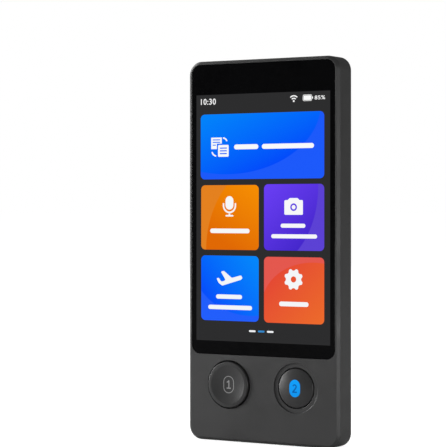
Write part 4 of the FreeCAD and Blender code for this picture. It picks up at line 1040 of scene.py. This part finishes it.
@dataclass
class KeyShape:
    """Shape of one side key in the left wall, read from its node."""

    node: str
    width: float = 2.4
    flange_reach: float = 0.6
    rise: float = 0.45
    softness: float = 0.22
    slot_softness: float = 0.12
    flange_out: float = 28.2
    flange_in: float = 27.5
    flange_grow: float = 0.2
    nub_in: float = 27.1
    nub_inset: float = 0.7

    def middle(self) -> Pair:
        """Return the key's depth and height."""
        low, high = span(self.node)
        return (low.y + high.y) / 2, (low.z + high.z) / 2

    def length(self) -> float:
        """Return the length of the key's cap."""
        low, high = span(self.node)
        return high.z - low.z - 2 * self.flange_reach

    def layers(self, rows: Sequence[tuple[float, float, float]]) -> Mesh:
        """Skin pill rings that lie one behind the other across the case.

        Args:
            rows: For each ring its x, its inset and how far it grows into a flange.

        Returns:
            The closed mesh.
        """
        depth, z = self.middle()
        rings = []
        for x, inset, grown in rows:
            outline = pill(0, z, self.width + 2 * grown, self.length() + 2 * grown).inset(inset)
            around = reversed(outline.points())
            rings.append([datum().point(x, depth + across, up) for across, up in around])
        return loft(rings)

    def outline_block(self, gap: float, start: float, reach: float) -> Mesh:
        """Make the cutter of the key's slot."""
        wall, soft = -datum().half_width, self.slot_softness
        return self.layers(((start, -gap - soft, 0), (wall - 0.02, -gap - soft, 0), (wall + soft, -gap, 0),
                            (wall + reach, -gap, 0)))

    def build(self) -> None:
        """Make and publish the key with a softly domed face."""
        face = -datum().half_width - self.rise
        edge = [(face + self.softness * (1 - math.cos(angle)), self.softness * (1 - math.sin(angle)), 0.0)
                for angle in QUARTER_TURN]
        rows = edge + [(-self.flange_out, 0, 0), (-self.flange_out, 0, self.flange_grow),
                       (-self.flange_in, 0, self.flange_grow), (-self.flange_in, self.nub_inset, 0),
                       (-self.nub_in, self.nub_inset, 0)]
        mesh = shaded(self.layers(rows))
        publish(f"{self.node}_cap", mesh, CAP_ABS, body=self.node, replaced=(self.node,))


@dataclass
class Port:
    """Charging receptacle in the bottom face."""

    width: float = 8.94
    thickness: float = 3.26
    sink: float = 0.4
    length: float = 7.3
    sheet: float = 0.3
    back_wall: float = 0.5
    tongue: float = 6.7
    tongue_thickness: float = 0.7
    tongue_sink: float = 1.9
    contacts: int = 12
    contact_pitch: float = 0.5
    contact_width: float = 0.26
    contact_rise: float = 0.03

    def shell(self, grow: float, start: float, end: float) -> Mesh:
        """Make a prism with round ends that goes up from the bottom face."""
        outline = pill(0, 0, self.width + 2 * grow, self.thickness + 2 * grow, 12)
        return self.upright(block(outline, start, end))

    def upright(self, mesh: Mesh) -> Mesh:
        """Turn a form so that it goes up from the middle of the bottom face."""
        mesh.transform(downwards(0, -datum().front))
        return mesh

    def build(self) -> None:
        """Make and publish the receptacle, its tongue and its contacts."""
        top = self.sink + self.length
        outer = self.shell(0, self.sink, top)
        mouth = self.shell(-self.sheet, self.sink - 1, top - self.back_wall)
        shell = shaded(combined(outer, [mouth]))
        tip = self.sink + self.tongue_sink
        half, thin = self.tongue / 2, self.tongue_thickness / 2
        tongue = self.upright(prism(Outline(-half, half, -thin, thin, 0.25, 4),
                                    ((0.15, tip), (0, tip + 0.15), (0, top - self.back_wall))))
        reach = self.contact_width / 2
        finger = Outline(-reach, reach, thin - 0.02, thin + self.contact_rise)
        contact = self.upright(block(finger, tip + 0.3, top - 1.2))
        publish("port_shell", shell, PLATED_STEEL, replaced=("usb_receptacle",))
        publish("port_tongue", shaded(tongue), BLACK_NYLON)
        row = Array(self.contacts, 1, self.contact_pitch, 0).of(contact, GOLD_CONTACT)
        publish("port_contacts", row, GOLD_CONTACT)


@dataclass
class RearCover:
    """Inset cover with a bevelled raised back, the camera window's seat and the speaker grille."""

    fit: float = 0.15
    seat: float = 9.0
    rim: float = 9.95
    back: float = 10.8
    inner: float = 9.6
    bevel: float = 1.2
    ring: float = 2.2
    softness: float = 0.3
    window_gap: float = 0.1
    hole_sides: int = 20
    hole: float = 0.95
    pitch: float = 1.625
    columns: int = 25
    full_rows: int = 4
    top_row: float = 24.65
    mic_hole: float = 1.0
    barrel: float = 7.0

    def outline(self) -> Outline:
        """Return the cover's outline from its node's box."""
        return Outline.of("rear_cover", Housing.corner_radius - Housing.wall - self.fit)

    def perforations(self) -> list[Mesh]:
        """List the cutters of the grille: full rows, a shorter last row and two holes at each upper end.

        Returns:
            The cutters, one mesh for each stretch.
        """
        middle = self.top_row - (self.full_rows - 1) * self.pitch / 2
        upper = (self.columns - 1) / 2 - 1.5
        stretches = (
            (self.columns, self.full_rows, 0.0, middle),
            (self.columns - 2, 1, 0.0, self.top_row - self.full_rows * self.pitch),
            (2, 1, -upper * self.pitch, self.top_row + self.pitch),
            (2, 1, upper * self.pitch, self.top_row + self.pitch),
        )
        tools = []
        for columns, rows, x, z in stretches:
            pin = turned(pin_profile(self.hole, -1, 2.5), 0, 0, self.hole_sides)
            pins = Array(columns, rows, self.pitch, self.pitch).of(pin, CASE_ABS)
            pins.transform(Matrix.Translation(Vector((x, self.seat, z)) * MM))
            tools.append(pins)
        return tools

    def build(self) -> None:
        """Make and publish the cover."""
        profile = ((0, self.seat), (0, self.rim), (self.bevel, self.back), (self.bevel + 1, self.back))
        outline = self.outline()
        plate = prism(outline, softened(profile, self.softness))
        low, high = span("camera_window")
        seat = Outline.of("camera_window", (high.z - low.z) / 2 + self.window_gap, self.window_gap)
        start, end = self.seat - 1, self.back + 1.2
        tools = [
            block(outline.inset(self.ring), start, self.inner),
            block(seat, low.y, end),
            turned(pin_profile(self.mic_hole, start, end), *axis_of("rear_mic_boot"), 32),
            turned(pin_profile(self.barrel, start, end), *axis_of("camera_lens")),
        ] + self.perforations()
        mesh = shaded(combined(plate, tools))
        publish("rear_cover_plate", mesh, CASE_ABS, replaced=("rear_cover",))


@dataclass
class CameraBar:
    """Dark window in the back with the lens and the flash behind it."""

    edge: float = 0.12
    lens_diameter: float = 3.5
    glass_share: float = 0.42
    proud: float = 0.02
    dome: float = 0.03
    dome_top: float = 0.045

    def build(self) -> None:
        """Make and publish the window, the lens that shows through it and the flash."""
        low, high = span("camera_window")
        front, back = low.y, high.y
        outline = Outline.of("camera_window", (high.z - low.z) / 2, steps=24)
        edge = self.edge
        profile = softened(((0, front), (0, back - edge), (edge, back), (edge + 1, back)), 0.1)
        publish("camera_window_bar", shaded(prism(outline, profile)), WINDOW_PC,
                replaced=("camera_window",))
        x, z = axis_of("camera_lens")
        r, glass_r = self.lens_diameter / 2, self.lens_diameter / 2 * self.glass_share
        face = back + self.proud
        ring = turned(((0, face), (glass_r, face), (r - 0.05, face - 0.005), (r, face - 0.02),
                       (r, back - 0.1), (0, back - 0.1)), x, z)
        publish("lens_surround", shaded(ring), LENS_BEZEL)
        dome = [(glass_r * math.sin(angle), back + self.dome_top - self.dome * (1 - math.cos(angle)))
                for angle in QUARTER_TURN]
        glass = turned(dome + [(glass_r, back - 0.05), (0, back - 0.05)], x, z)
        publish("lens_face", shaded(glass), LENS_GLASS)
        square = Outline.of("flash_diffuser", 0.25, steps=4)
        plate = prism(square, ((0, back - 0.1), (0, back + 0.01), (0.02, face), (0.1, face)))
        publish("flash_face", shaded(plate), SMOKED_PC)


@dataclass
class TalkButton:
    """One talk button: its cap, its light window and the mark on it."""

    side: str
    cap: float
    rim: float
    dish: float = 0.0
    dish_depth: float = 0.0
    dish_power: float = 1.6
    rim_fall: float = 0.0
    dome: float = 0.0
    edge: float = 0.2
    wall: float = 1.3
    skirt: float = 1.0
    flange_reach: float = 1.15
    flange_front: float = 2.1
    flange_back: float = 2.8
    post: float = 3.0
    lens_thickness: float = 0.8
    lens_gap: float = 0.03
    ring_width: float = 0.24
    mark_height: float = 2.9
    mark_lift: float = 0.012
    softness: float = 0.25

    def axis(self) -> Pair:
        """Return the button's axis across and up."""
        return axis_of(f"{self.side}_switch_body")

    def face_depth(self, x: float, z: float) -> float:
        """Give the depth of the cap's outer face at a place.

        Args:
            x: Place across.
            z: Place up.

        Returns:
            The depth of the face there.
        """
        centre_x, centre_z = self.axis()
        r = math.hypot(x - centre_x, z - centre_z)
        if self.dish:
            return self.rim + self.dish_depth * (1 - min(r / (self.dish / 2), 1) ** self.dish_power)
        return self.rim - self.dome * (1 - min(r / (self.cap / 2 - self.edge), 1) ** 2)

    def face_profile(self) -> list[Pair]:
        """List the outer face from its middle to its rim, as radius and depth.

        Returns:
            The profile of the dish or dome.
        """
        centre_x, centre_z = self.axis()
        reach = self.dish / 2 if self.dish else self.cap / 2 - self.edge
        radii = [reach * step / 24 for step in range(25)]
        return [(r, self.face_depth(centre_x + r, centre_z)) for r in radii]

    def body(self) -> Mesh:
        """Make the cap's turned body with its flange and the post for the switch.

        Returns:
            The closed body.
        """
        r = self.cap / 2
        face = self.face_profile()
        roof = max(depth for _, depth in face) + self.wall
        post_end = span(f"{self.side}_switch_plunger")[0].y
        outer = self.rim + self.rim_fall
        corners = [face[-2], face[-1], (r - self.edge, outer), (r, outer + self.edge), (r, self.flange_front)]
        shoulder = softened(tidy(corners), self.softness)
        inner = r - self.skirt
        profile = face[:-1] + shoulder + [
            (r + self.flange_reach, self.flange_front), (r + self.flange_reach, self.flange_back),
            (inner, self.flange_back), (inner, roof),
            (self.post / 2, roof), (self.post / 2, post_end), (0, post_end)]
        return turned(tidy(profile), *self.axis(), 128)

    def lens_outline(self) -> Outline:
        """Return the light window's outline, an upright pill, from its node's box."""
        low, high = span(f"{self.side}_button_lens")
        return Outline.of(f"{self.side}_button_lens", (high.x - low.x) / 2, steps=20)

    def lens_block(self, gap: float, back: float) -> Mesh:
        """Make the upright pill that the light window fills."""
        return block(self.lens_outline().inset(gap), -4, back)

    def build(self) -> None:
        """Make and publish the cap, its light window and the mark."""
        body = f"{self.side}_button"
        low_face = self.face_depth(*self.axis()) if self.dish else self.rim
        lens_back = low_face + self.lens_thickness
        lens = combined(self.body(), [self.lens_block(self.lens_gap, lens_back)], "INTERSECT")
        cap = combined(self.body(), [self.lens_block(0, lens_back)])
        publish(f"{self.side}_cap", shaded(cap), CAP_ABS, body, (f"{self.side}_button_cap",))
        lit = self.side == "right"
        publish(f"{self.side}_light_window", shaded(lens), self.lit_window() if lit else CAP_ABS,
                body, (f"{self.side}_button_lens",))
        self.marks(body, lit)

    def lit_window(self) -> LitPanel:
        """Return the finish of the window that is lit from behind, a little paler in its middle."""
        x, z = self.axis()
        return LitPanel("lit blue window", "#12a0fa", "#0f92ea", "#0c86dc",
                        (x, z + 3), (x, z - 3), (x, z), (2.1, 3.0))

    def marks(self, body: str, lit: bool) -> None:
        """Make and publish the numeral, and the pill drawn round it on the window that isn't lit.

        Args:
            body: Body that the marks move with.
            lit: Whether the window is lit.
        """
        x, z = self.axis()
        lift, thin = self.mark_lift, 2 * self.mark_lift
        outline = placed(numeral_two() if lit else NUMERAL_ONE, x, z, self.mark_height)
        numeral = draped(flat([outline], -lift, thin), self.face_depth)
        if lit:
            ink = LitPanel("shaded blue numeral", "#0a64b4", "#0858a4", "#0858a4", (x, z + 2), (x, z - 2))
            publish(f"{self.side}_numeral", numeral, ink, body)
            return
        publish(f"{self.side}_numeral", numeral, MARK_INK, body)
        outer = self.lens_outline()
        ring = flat([outer.points(), outer.inset(self.ring_width).points()], -lift, thin)
        publish(f"{self.side}_pill_line", draped(ring, self.face_depth), MARK_INK, body)


def tidy(profile: Sequence[Pair]) -> list[Pair]:
    """Leave out points of a profile that lie on the one before."""
    kept = [profile[0]]
    for pair in profile[1:]:
        if math.dist(pair, kept[-1]) > 1e-4:
            kept.append(pair)
    return kept


# The dashes below the tiles: middle, width, height and the step from one to the next.
PAGE_MARK = (-0.25, 38.5, 2.6, 0.65)
PAGE_MARK_PITCH = 3.55


@dataclass
class Screen:
    """Cover glass and the lit picture that shows through it."""

    edge: float = 0.15
    half_width: float = 26.45
    bottom: float = 34.7
    top: float = 120.2
    layer: float = 0.01
    tile_radius: float = 1.6

    def depth_of(self, level: int) -> float:
        """Return the depth of a layer of the picture, counted from the glass outwards."""
        return span("cover_glass")[0].y - level * self.layer

    def show(self, name: str, loops: Sequence[Sequence[Pair]], level: int, finish: LitPanel) -> None:
        """Publish a flat shape of the picture."""
        publish(name, flat(loops, self.depth_of(level), self.layer), finish)

    def build(self) -> None:
        """Make and publish the glass, the picture's ground, its tiles and its marks."""
        front, back = (corner.y for corner in span("cover_glass"))
        outline = Outline.of("cover_glass", Housing.glass_radius, steps=20)
        edge = self.edge
        profile = softened(((edge + 1, front), (edge, front), (0, front + edge), (0, back)), 0.08)
        publish("glass_plate", shaded(prism(outline, profile)), INKED_GLASS,
                replaced=("cover_glass",))
        ground = Outline(-self.half_width, self.half_width, self.bottom, self.top)
        dark = LitPanel("lit dark ground", "#2d2d2e", "#2b2b2c", "#2c2c2d", (0, self.top), (0, self.bottom))
        self.show("picture_ground", [ground.points()], 1, dark)
        for tile in TILES:
            self.show(tile.name, [tile.outline(self.tile_radius).points()], 2, tile.panel())
        white = LitPanel("lit white", "#ffffff", "#f6f8fb", "#ffffff", (0, self.top), (0, self.bottom))
        for name, shapes in pictograms().items():
            for index, loops in enumerate(shapes):
                self.show(f"{name}_{index}", loops, 3, white)
        for name, bars in LABELS.items():
            loops = [pill((x0 + x1) / 2, z, x1 - x0, height, 6).points() for x0, x1, z, height in bars]
            self.show(name, loops, 3, white)
        for name, text, middle, size in READOUTS:
            publish(name, digits(text, middle, size, self.depth_of(3), self.layer), white)
        self.page_marks(white)

    def page_marks(self, white: LitPanel) -> None:
        """Publish the row of three dashes below the tiles, the middle one lit blue.

        Args:
            white: Finish of the outer two.
        """
        dash = [pill(*PAGE_MARK, 6).points()]
        pair = Array(2, 1, 2 * PAGE_MARK_PITCH, 0).of(flat(dash, self.depth_of(3), self.layer), white)
        publish("page_marks", pair, white)
        z = PAGE_MARK[1]
        blue = LitPanel("lit blue dash", "#3b8fd0", "#2f86cb", "#3b8fd0", (-2, z), (2, z))
        self.show("page_mark_now", dash, 3, blue)


@dataclass(frozen=True)
class Tile:
    """Coloured tile of the picture with a paler stretch beyond an ellipse."""

    name: str
    x0: float
    x1: float
    z0: float
    z1: float
    start: str
    end: str
    pale: str
    start_at: Pair
    end_at: Pair
    centre: Pair
    reach: Pair

    def outline(self, radius: float) -> Outline:
        """Return the tile's outline with round corners."""
        return Outline(self.x0, self.x1, self.z0, self.z1, radius, 8)

    def panel(self) -> LitPanel:
        """Return the tile's lit finish."""
        return LitPanel(f"lit {self.name}", self.start, self.end, self.pale, self.start_at, self.end_at,
                        self.centre, self.reach)


TILES = (
    Tile("wide_blue_tile", -24.7, 24.2, 90.8, 113.4, "#0084ff", "#004cff", "#1c5bff",
         (-22, 112), (-13, 89), (-14, 116), (37, 23.5)),
    Tile("orange_tile", -24.5, -1.25, 66.35, 88.75, "#fa9000", "#e46a00", "#e8831f",
         (-2, 88), (-14, 68), (6, 66), (28.5, 32)),
    Tile("violet_tile", 0.85, 24.2, 66.35, 88.95, "#6b3ff8", "#4526cf", "#5d42d8",
         (1, 88), (17, 69), (0, 88), (21.9, 28)),
    Tile("blue_tile", -24.5, -1.25, 41.75, 64.3, "#0088ff", "#0050ff", "#205fff",
         (-3, 63), (-20, 48), (-4.5, 62), (23.8, 18.3)),
    Tile("red_tile", 0.85, 24.2, 41.65, 64.15, "#e84734", "#f06b2a", "#e8594f",
         (5, 60), (23, 42), (20, 47.4), (20, 15)),
)

# Words on the tiles are left as plain bars, given by x from, x to, height of the middle and thickness.
LABELS = {
    "wide_label": ((-11.1, -1.4, 101.9, 1.7), (0.0, 20.3, 101.9, 1.7)),
    "orange_label": ((-20.8, -4.9, 72.9, 1.6),),
    "violet_label": ((7.4, 17.0, 74.8, 1.4), (3.7, 21.5, 71.2, 1.4)),
    "blue_label": ((-18.4, -7.9, 50.1, 1.5), (-21.6, -3.9, 46.4, 1.5)),
    "red_label": ((6.8, 18.2, 48.2, 1.6),),
}

# Digits in the top bar: name, text, middle, and width and height.
READOUTS = (
    ("clock_readout", "10:30", (-21.55, 117.85), (6.1, 2.1)),
    ("charge_readout", "85%", (22.55, 118.0), (4.0, 1.35)),
)


def pictograms() -> dict[str, Plates]:
    """Draw the pictograms of the picture, each as a list of plates made of closed loops.

    Returns:
        Plates by name.
    """
    aircraft = [[softened(AIRCRAFT, 0.6)]]
    gear = [[gear_outline(2.95, 3.65, 8), ring_points(0, 0, 1.05, steps=32)]]
    case = Outline(16.0, 19.5, 116.95, 119.1, 0.5, 4)
    battery = [[case.points(), Outline(16.15, 19.35, 117.1, 118.95, 0.4, 4).points()],
               [Outline(16.3, 19.2, 117.25, 118.8, 0.3, 4).points()],
               [Outline(19.6, 19.9, 117.65, 118.4, 0.1, 2).points()]]
    drawn = (
        ("cards", cards(), 0, 0),
        ("microphone", microphone(), -12.97, 81.3),
        ("camera", camera(), 12.44, 81.0),
        ("aircraft", aircraft, -13.0, 56.5),
        ("gear", gear, 12.4, 56.6),
        ("network", network(), 12.5, 116.95),
        ("battery", battery, 0, 0),
    )
    return {f"{name}_pictogram": [[placed(loop, x, z) for loop in plate] for plate in plates]
            for name, plates, x, z in drawn}


# Outline of an aircraft that climbs to the right, about its own middle.
AIRCRAFT = ((1.2, -1.42), (4.6, -0.45), (5.3, 0.15), (4.7, 1.1), (1.0, 0.15), (-2.2, 2.5), (-3.5, 2.3),
            (-1.4, -0.75), (-3.2, -1.25), (-4.4, 0.15), (-5.2, -0.15), (-4.3, -1.7), (-2.9, -2.6),
            (1.2, -1.42))


def cards() -> Plates:
    """Draw two overlapping cards with ruled lines, and a bend at two corners, in their place.

    Returns:
        The plates.
    """
    back_card = [(-20.4, 101.3), (-18.1, 101.3), (-18.1, 103.2), (-16.1, 103.2), (-16.1, 105.3),
                 (-20.4, 105.3)]
    back_lines = [Outline(-19.8, -16.7, z - 0.18, z + 0.18).points() for z in (104.5, 103.65)]
    back_lines.append(Outline(-19.8, -18.5, 102.5, 102.86).points())
    front_card = Outline(-17.6, -13.3, 98.6, 102.7, 0.4, 4).points()
    front_lines = [Outline(-16.9, -14.0, z - 0.2, z + 0.2).points() for z in (101.6, 100.65, 99.7)]
    return [[back_card] + back_lines, [front_card] + front_lines,
            [arc_band(-15.6, 103.4, 1.7, 0.5, 20, 90)], [arc_band(-18.2, 100.8, 1.9, 0.5, 195, 265)]]


def microphone(outer: float = 2.7, inner: float = 2.1, middle: float = 0.4, end: float = 1.2) -> Plates:
    """Draw a microphone about the origin: capsule, cradle, stem and foot.

    Args:
        outer: Outer radius of the cradle.
        inner: Inner radius of the cradle.
        middle: Height of the cradle's middle.
        end: Height of the cradle's two ends.

    Returns:
        The plates.
    """
    cradle = ([(-outer, end)] + ring_points(0, middle, outer, 180, 360, 24) + [(outer, end), (inner, end)]
              + ring_points(0, middle, inner, 360, 180, 24) + [(-inner, end)])
    return [[pill(0, 1.3, 3.2, 4.7, 10).points()], [cradle], [Outline(-0.35, 0.35, -3.0, -2.4).points()],
            [pill(0, -3.15, 3.2, 0.55, 4).points()]]


def camera(half: float = 3.6, high: float = 2.5, top: float = 3.2) -> Plates:
    """Draw a camera about the origin: body with a raised finder and a ring for the lens.

    Args:
        half: Half width of the body.
        high: Half height of the body.
        top: Height of the finder's top.

    Returns:
        The plates.
    """
    corners = [(half, 0), (half, high), (2.3, high), (1.5, top), (-1.5, top), (-2.3, high), (-half, high),
               (-half, -high), (half, -high), (half, 0)]
    lens = [ring_points(0, 0.1, 1.3, steps=32), ring_points(0, 0.1, 0.75, steps=24)]
    return [[softened(corners, 0.5)] + lens]


def gear_outline(root: float, tip: float, teeth: int) -> list[Pair]:
    """Draw a gear with rounded teeth about the origin.

    Args:
        root: Radius between the teeth.
        tip: Radius at the teeth.
        teeth: Number of teeth.

    Returns:
        The closed outline.
    """
    points = []
    for step in range(teeth * 16):
        angle = math.tau * step / (teeth * 16)
        wave = -math.tanh(1.5 * math.cos(teeth * angle)) / math.tanh(1.5)
        radius = (root + tip) / 2 + wave * (tip - root) / 2
        points.append((radius * math.cos(angle), radius * math.sin(angle)))
    return points


def network() -> Plates:
    """Draw a wireless mark about the origin: a dot under two bends."""
    bends = [[arc_band(0, 0, radius, 0.4, 46, 134)] for radius in (1.05, 1.9)]
    return [[ring_points(0, 0.1, 0.34, steps=16)]] + bends


# The scene round the part


@dataclass(frozen=True)
class Softbox:
    """Studio lamp aimed at the middle of the device; its azimuth counts from the front to the right."""

    name: str
    azimuth: float
    elevation: float
    distance: float
    width: float
    height: float
    power: float

    def build(self) -> None:
        """Make the lamp."""
        lamp = bpy.data.lights.new(self.name, "AREA")
        lamp.shape = "RECTANGLE"
        lamp.size, lamp.size_y = self.width, self.height
        lamp.energy = self.power
        holder = as_object(lamp)
        a, e = math.radians(self.azimuth), math.radians(self.elevation)
        away = Vector((math.sin(a) * math.cos(e), -math.cos(a) * math.cos(e), math.sin(e)))
        target = Vector((0, 0, LAMP_TARGET_Z * MM))
        holder.location = target + away * self.distance
        holder.rotation_euler = (-away).to_track_quat("-Z", "Y").to_euler()


LAMP_TARGET_Z = 66
SOFTBOXES = (
    Softbox("left softbox", -72, 2, 1.2, 0.4, 0.8, 24.0),
    Softbox("right softbox", 60, -4, 0.5, 0.14, 0.06, 0.38),
    Softbox("side softbox", 105, 0, 1.3, 0.5, 0.1, 1.5),
    Softbox("overhead softbox", 20, 70, 1.6, 0.8, 0.8, 0.4),
    Softbox("rear softbox", 235, 30, 1.6, 0.9, 0.9, 9.5),
)


@dataclass(frozen=True)
class Studio:
    """Pale floor, white surroundings, lamps and the camera at the photograph's place."""

    camera_x: float = 316.7
    camera_y: float = -549.9
    camera_z: float = 80.3
    yaw: float = 31.4
    lens: float = 148.2
    shift_x: float = 0.0022
    shift_y: float = -0.0313
    ambient: float = 0.42
    floor_size: float = 60.0
    floor_sink: float = 0.1
    backdrop_from: float = 0.975
    backdrop_to: float = 0.995
    room: float = 0.12
    paper: str = "#d0d0d0"
    paper_glow: float = 0.74

    def camera(self) -> None:
        """Set up the camera that sees the device as the photograph does."""
        data = bpy.data.cameras.new("camera")
        data.lens = self.lens
        data.shift_x, data.shift_y = self.shift_x, self.shift_y
        data.clip_start, data.clip_end = 0.01, 50
        holder = as_object(data)
        holder.location = Vector((self.camera_x, self.camera_y, self.camera_z)) * MM
        holder.rotation_euler = (math.radians(90), 0, math.radians(self.yaw))
        bpy.context.scene.camera = holder

    def seen_directly(self, tree: Tree, along: Socket) -> Socket:
        """Tell rays that meet the white background: from the camera, or mirrored towards the backdrop.

        Args:
            tree: Tree that needs to know.
            along: Vector whose angle to the camera's view says how far it is from the backdrop's middle.

        Returns:
            A socket that is 1 for such rays and 0 for the others.
        """
        yaw = math.radians(self.yaw)
        level = computed(tree, "VectorMath", "NORMALIZE", along)
        ahead = (-math.sin(yaw), math.cos(yaw), 0)
        side = computed(tree, "VectorMath", "DOT_PRODUCT", level.outputs[0], ahead)
        backdrop = ranged(tree, side.outputs["Value"], (self.backdrop_from, self.backdrop_to))
        path = add_node(tree, "ShaderNodeLightPath").outputs
        bounced = computed(tree, "Math", "MAXIMUM", path["Is Glossy Ray"], path["Is Transmission Ray"])
        shown = computed(tree, "Math", "MULTIPLY", bounced.outputs[0], backdrop)
        return computed(tree, "Math", "MAXIMUM", path["Is Camera Ray"], shown.outputs[0]).outputs[0]

    def world(self) -> None:
        """Surround the scene with a soft room that has a white backdrop behind the device."""
        world = bpy.data.worlds.new("studio")
        bpy.context.scene.world = world
        tree = emptied(world)
        direction = add_node(tree, "ShaderNodeTexCoord").outputs["Generated"]
        path = add_node(tree, "ShaderNodeLightPath").outputs
        room = ranged(tree, path["Is Glossy Ray"], (0.0, 1.0), (self.ambient, self.room))
        strength = ranged(tree, self.seen_directly(tree, direction), (0.0, 1.0), (room, 1.0))
        sky = add_node(tree, "ShaderNodeBackground", None,
                       {"Color": linear("#ffffff"), "Strength": strength})
        add_node(tree, "ShaderNodeOutputWorld", None, {"Surface": sky.outputs[0]})

    def floor(self) -> None:
        """Lay a pale floor that shows as white except where the device shades it."""
        half = self.floor_size / 2
        square = ((-half, -half), (half, -half), (half, half), (-half, half))
        corners = [Vector((x, y, -self.floor_sink * MM)) for x, y in square]
        sheet = as_object(new_mesh(corners, [(0, 1, 2, 3)]))
        sheet.name = "floor"
        material = bpy.data.materials.new("white studio paper")
        tree = emptied(material)
        paper = add_node(tree, "ShaderNodeBsdfDiffuse", None, {"Color": linear(self.paper)})
        glow = add_node(tree, "ShaderNodeEmission", None, {"Strength": self.paper_glow})
        lit = add_node(tree, "ShaderNodeAddShader", None, {0: paper.outputs[0], 1: glow.outputs[0]})
        place = add_node(tree, "ShaderNodeTexCoord").outputs["Object"]
        mix = add_node(tree, "ShaderNodeMixShader", None,
                       {0: self.seen_directly(tree, place), 1: paper.outputs[0], 2: lit.outputs[0]})
        add_node(tree, "ShaderNodeOutputMaterial", None, {"Surface": mix.outputs[0]})
        sheet.data.materials.append(material)

    def build(self) -> None:
        """Make the whole surroundings."""
        self.camera()
        self.world()
        self.floor()
        for lamp in SOFTBOXES:
            lamp.build()
        bpy.context.scene.view_settings.view_transform = "Standard"


def dress_nodes(frame: dict[str, Any]) -> None:
    """Give every node of the frame the finish of its material slot.
    """
    for part in frame["record"]["subparts"]:
        node = frame["nodes"][part["node"]]
        node.data.materials.clear()
        node.data.materials.append(dressed(SLOT_FINISHES[part["material_slot"]]))


def main() -> None:
    """Build the looks of the whole device."""
    logging.basicConfig(level=logging.INFO, format="%(name)s: %(message)s")
    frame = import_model()
    Studio().build()
    dress_nodes(frame)
    Housing().build()
    RearCover().build()
    CameraBar().build()
    Screen().build()
    TalkButton("left", 15.9, -0.8, dish=13.35, dish_depth=0.8, rim_fall=0.05).build()
    TalkButton("right", 13.4, 0.2, dome=0.9).build()
    for key in SIDE_KEYS:
        KeyShape(key).build()
    Port().build()


if __name__ == "__main__":
    main()
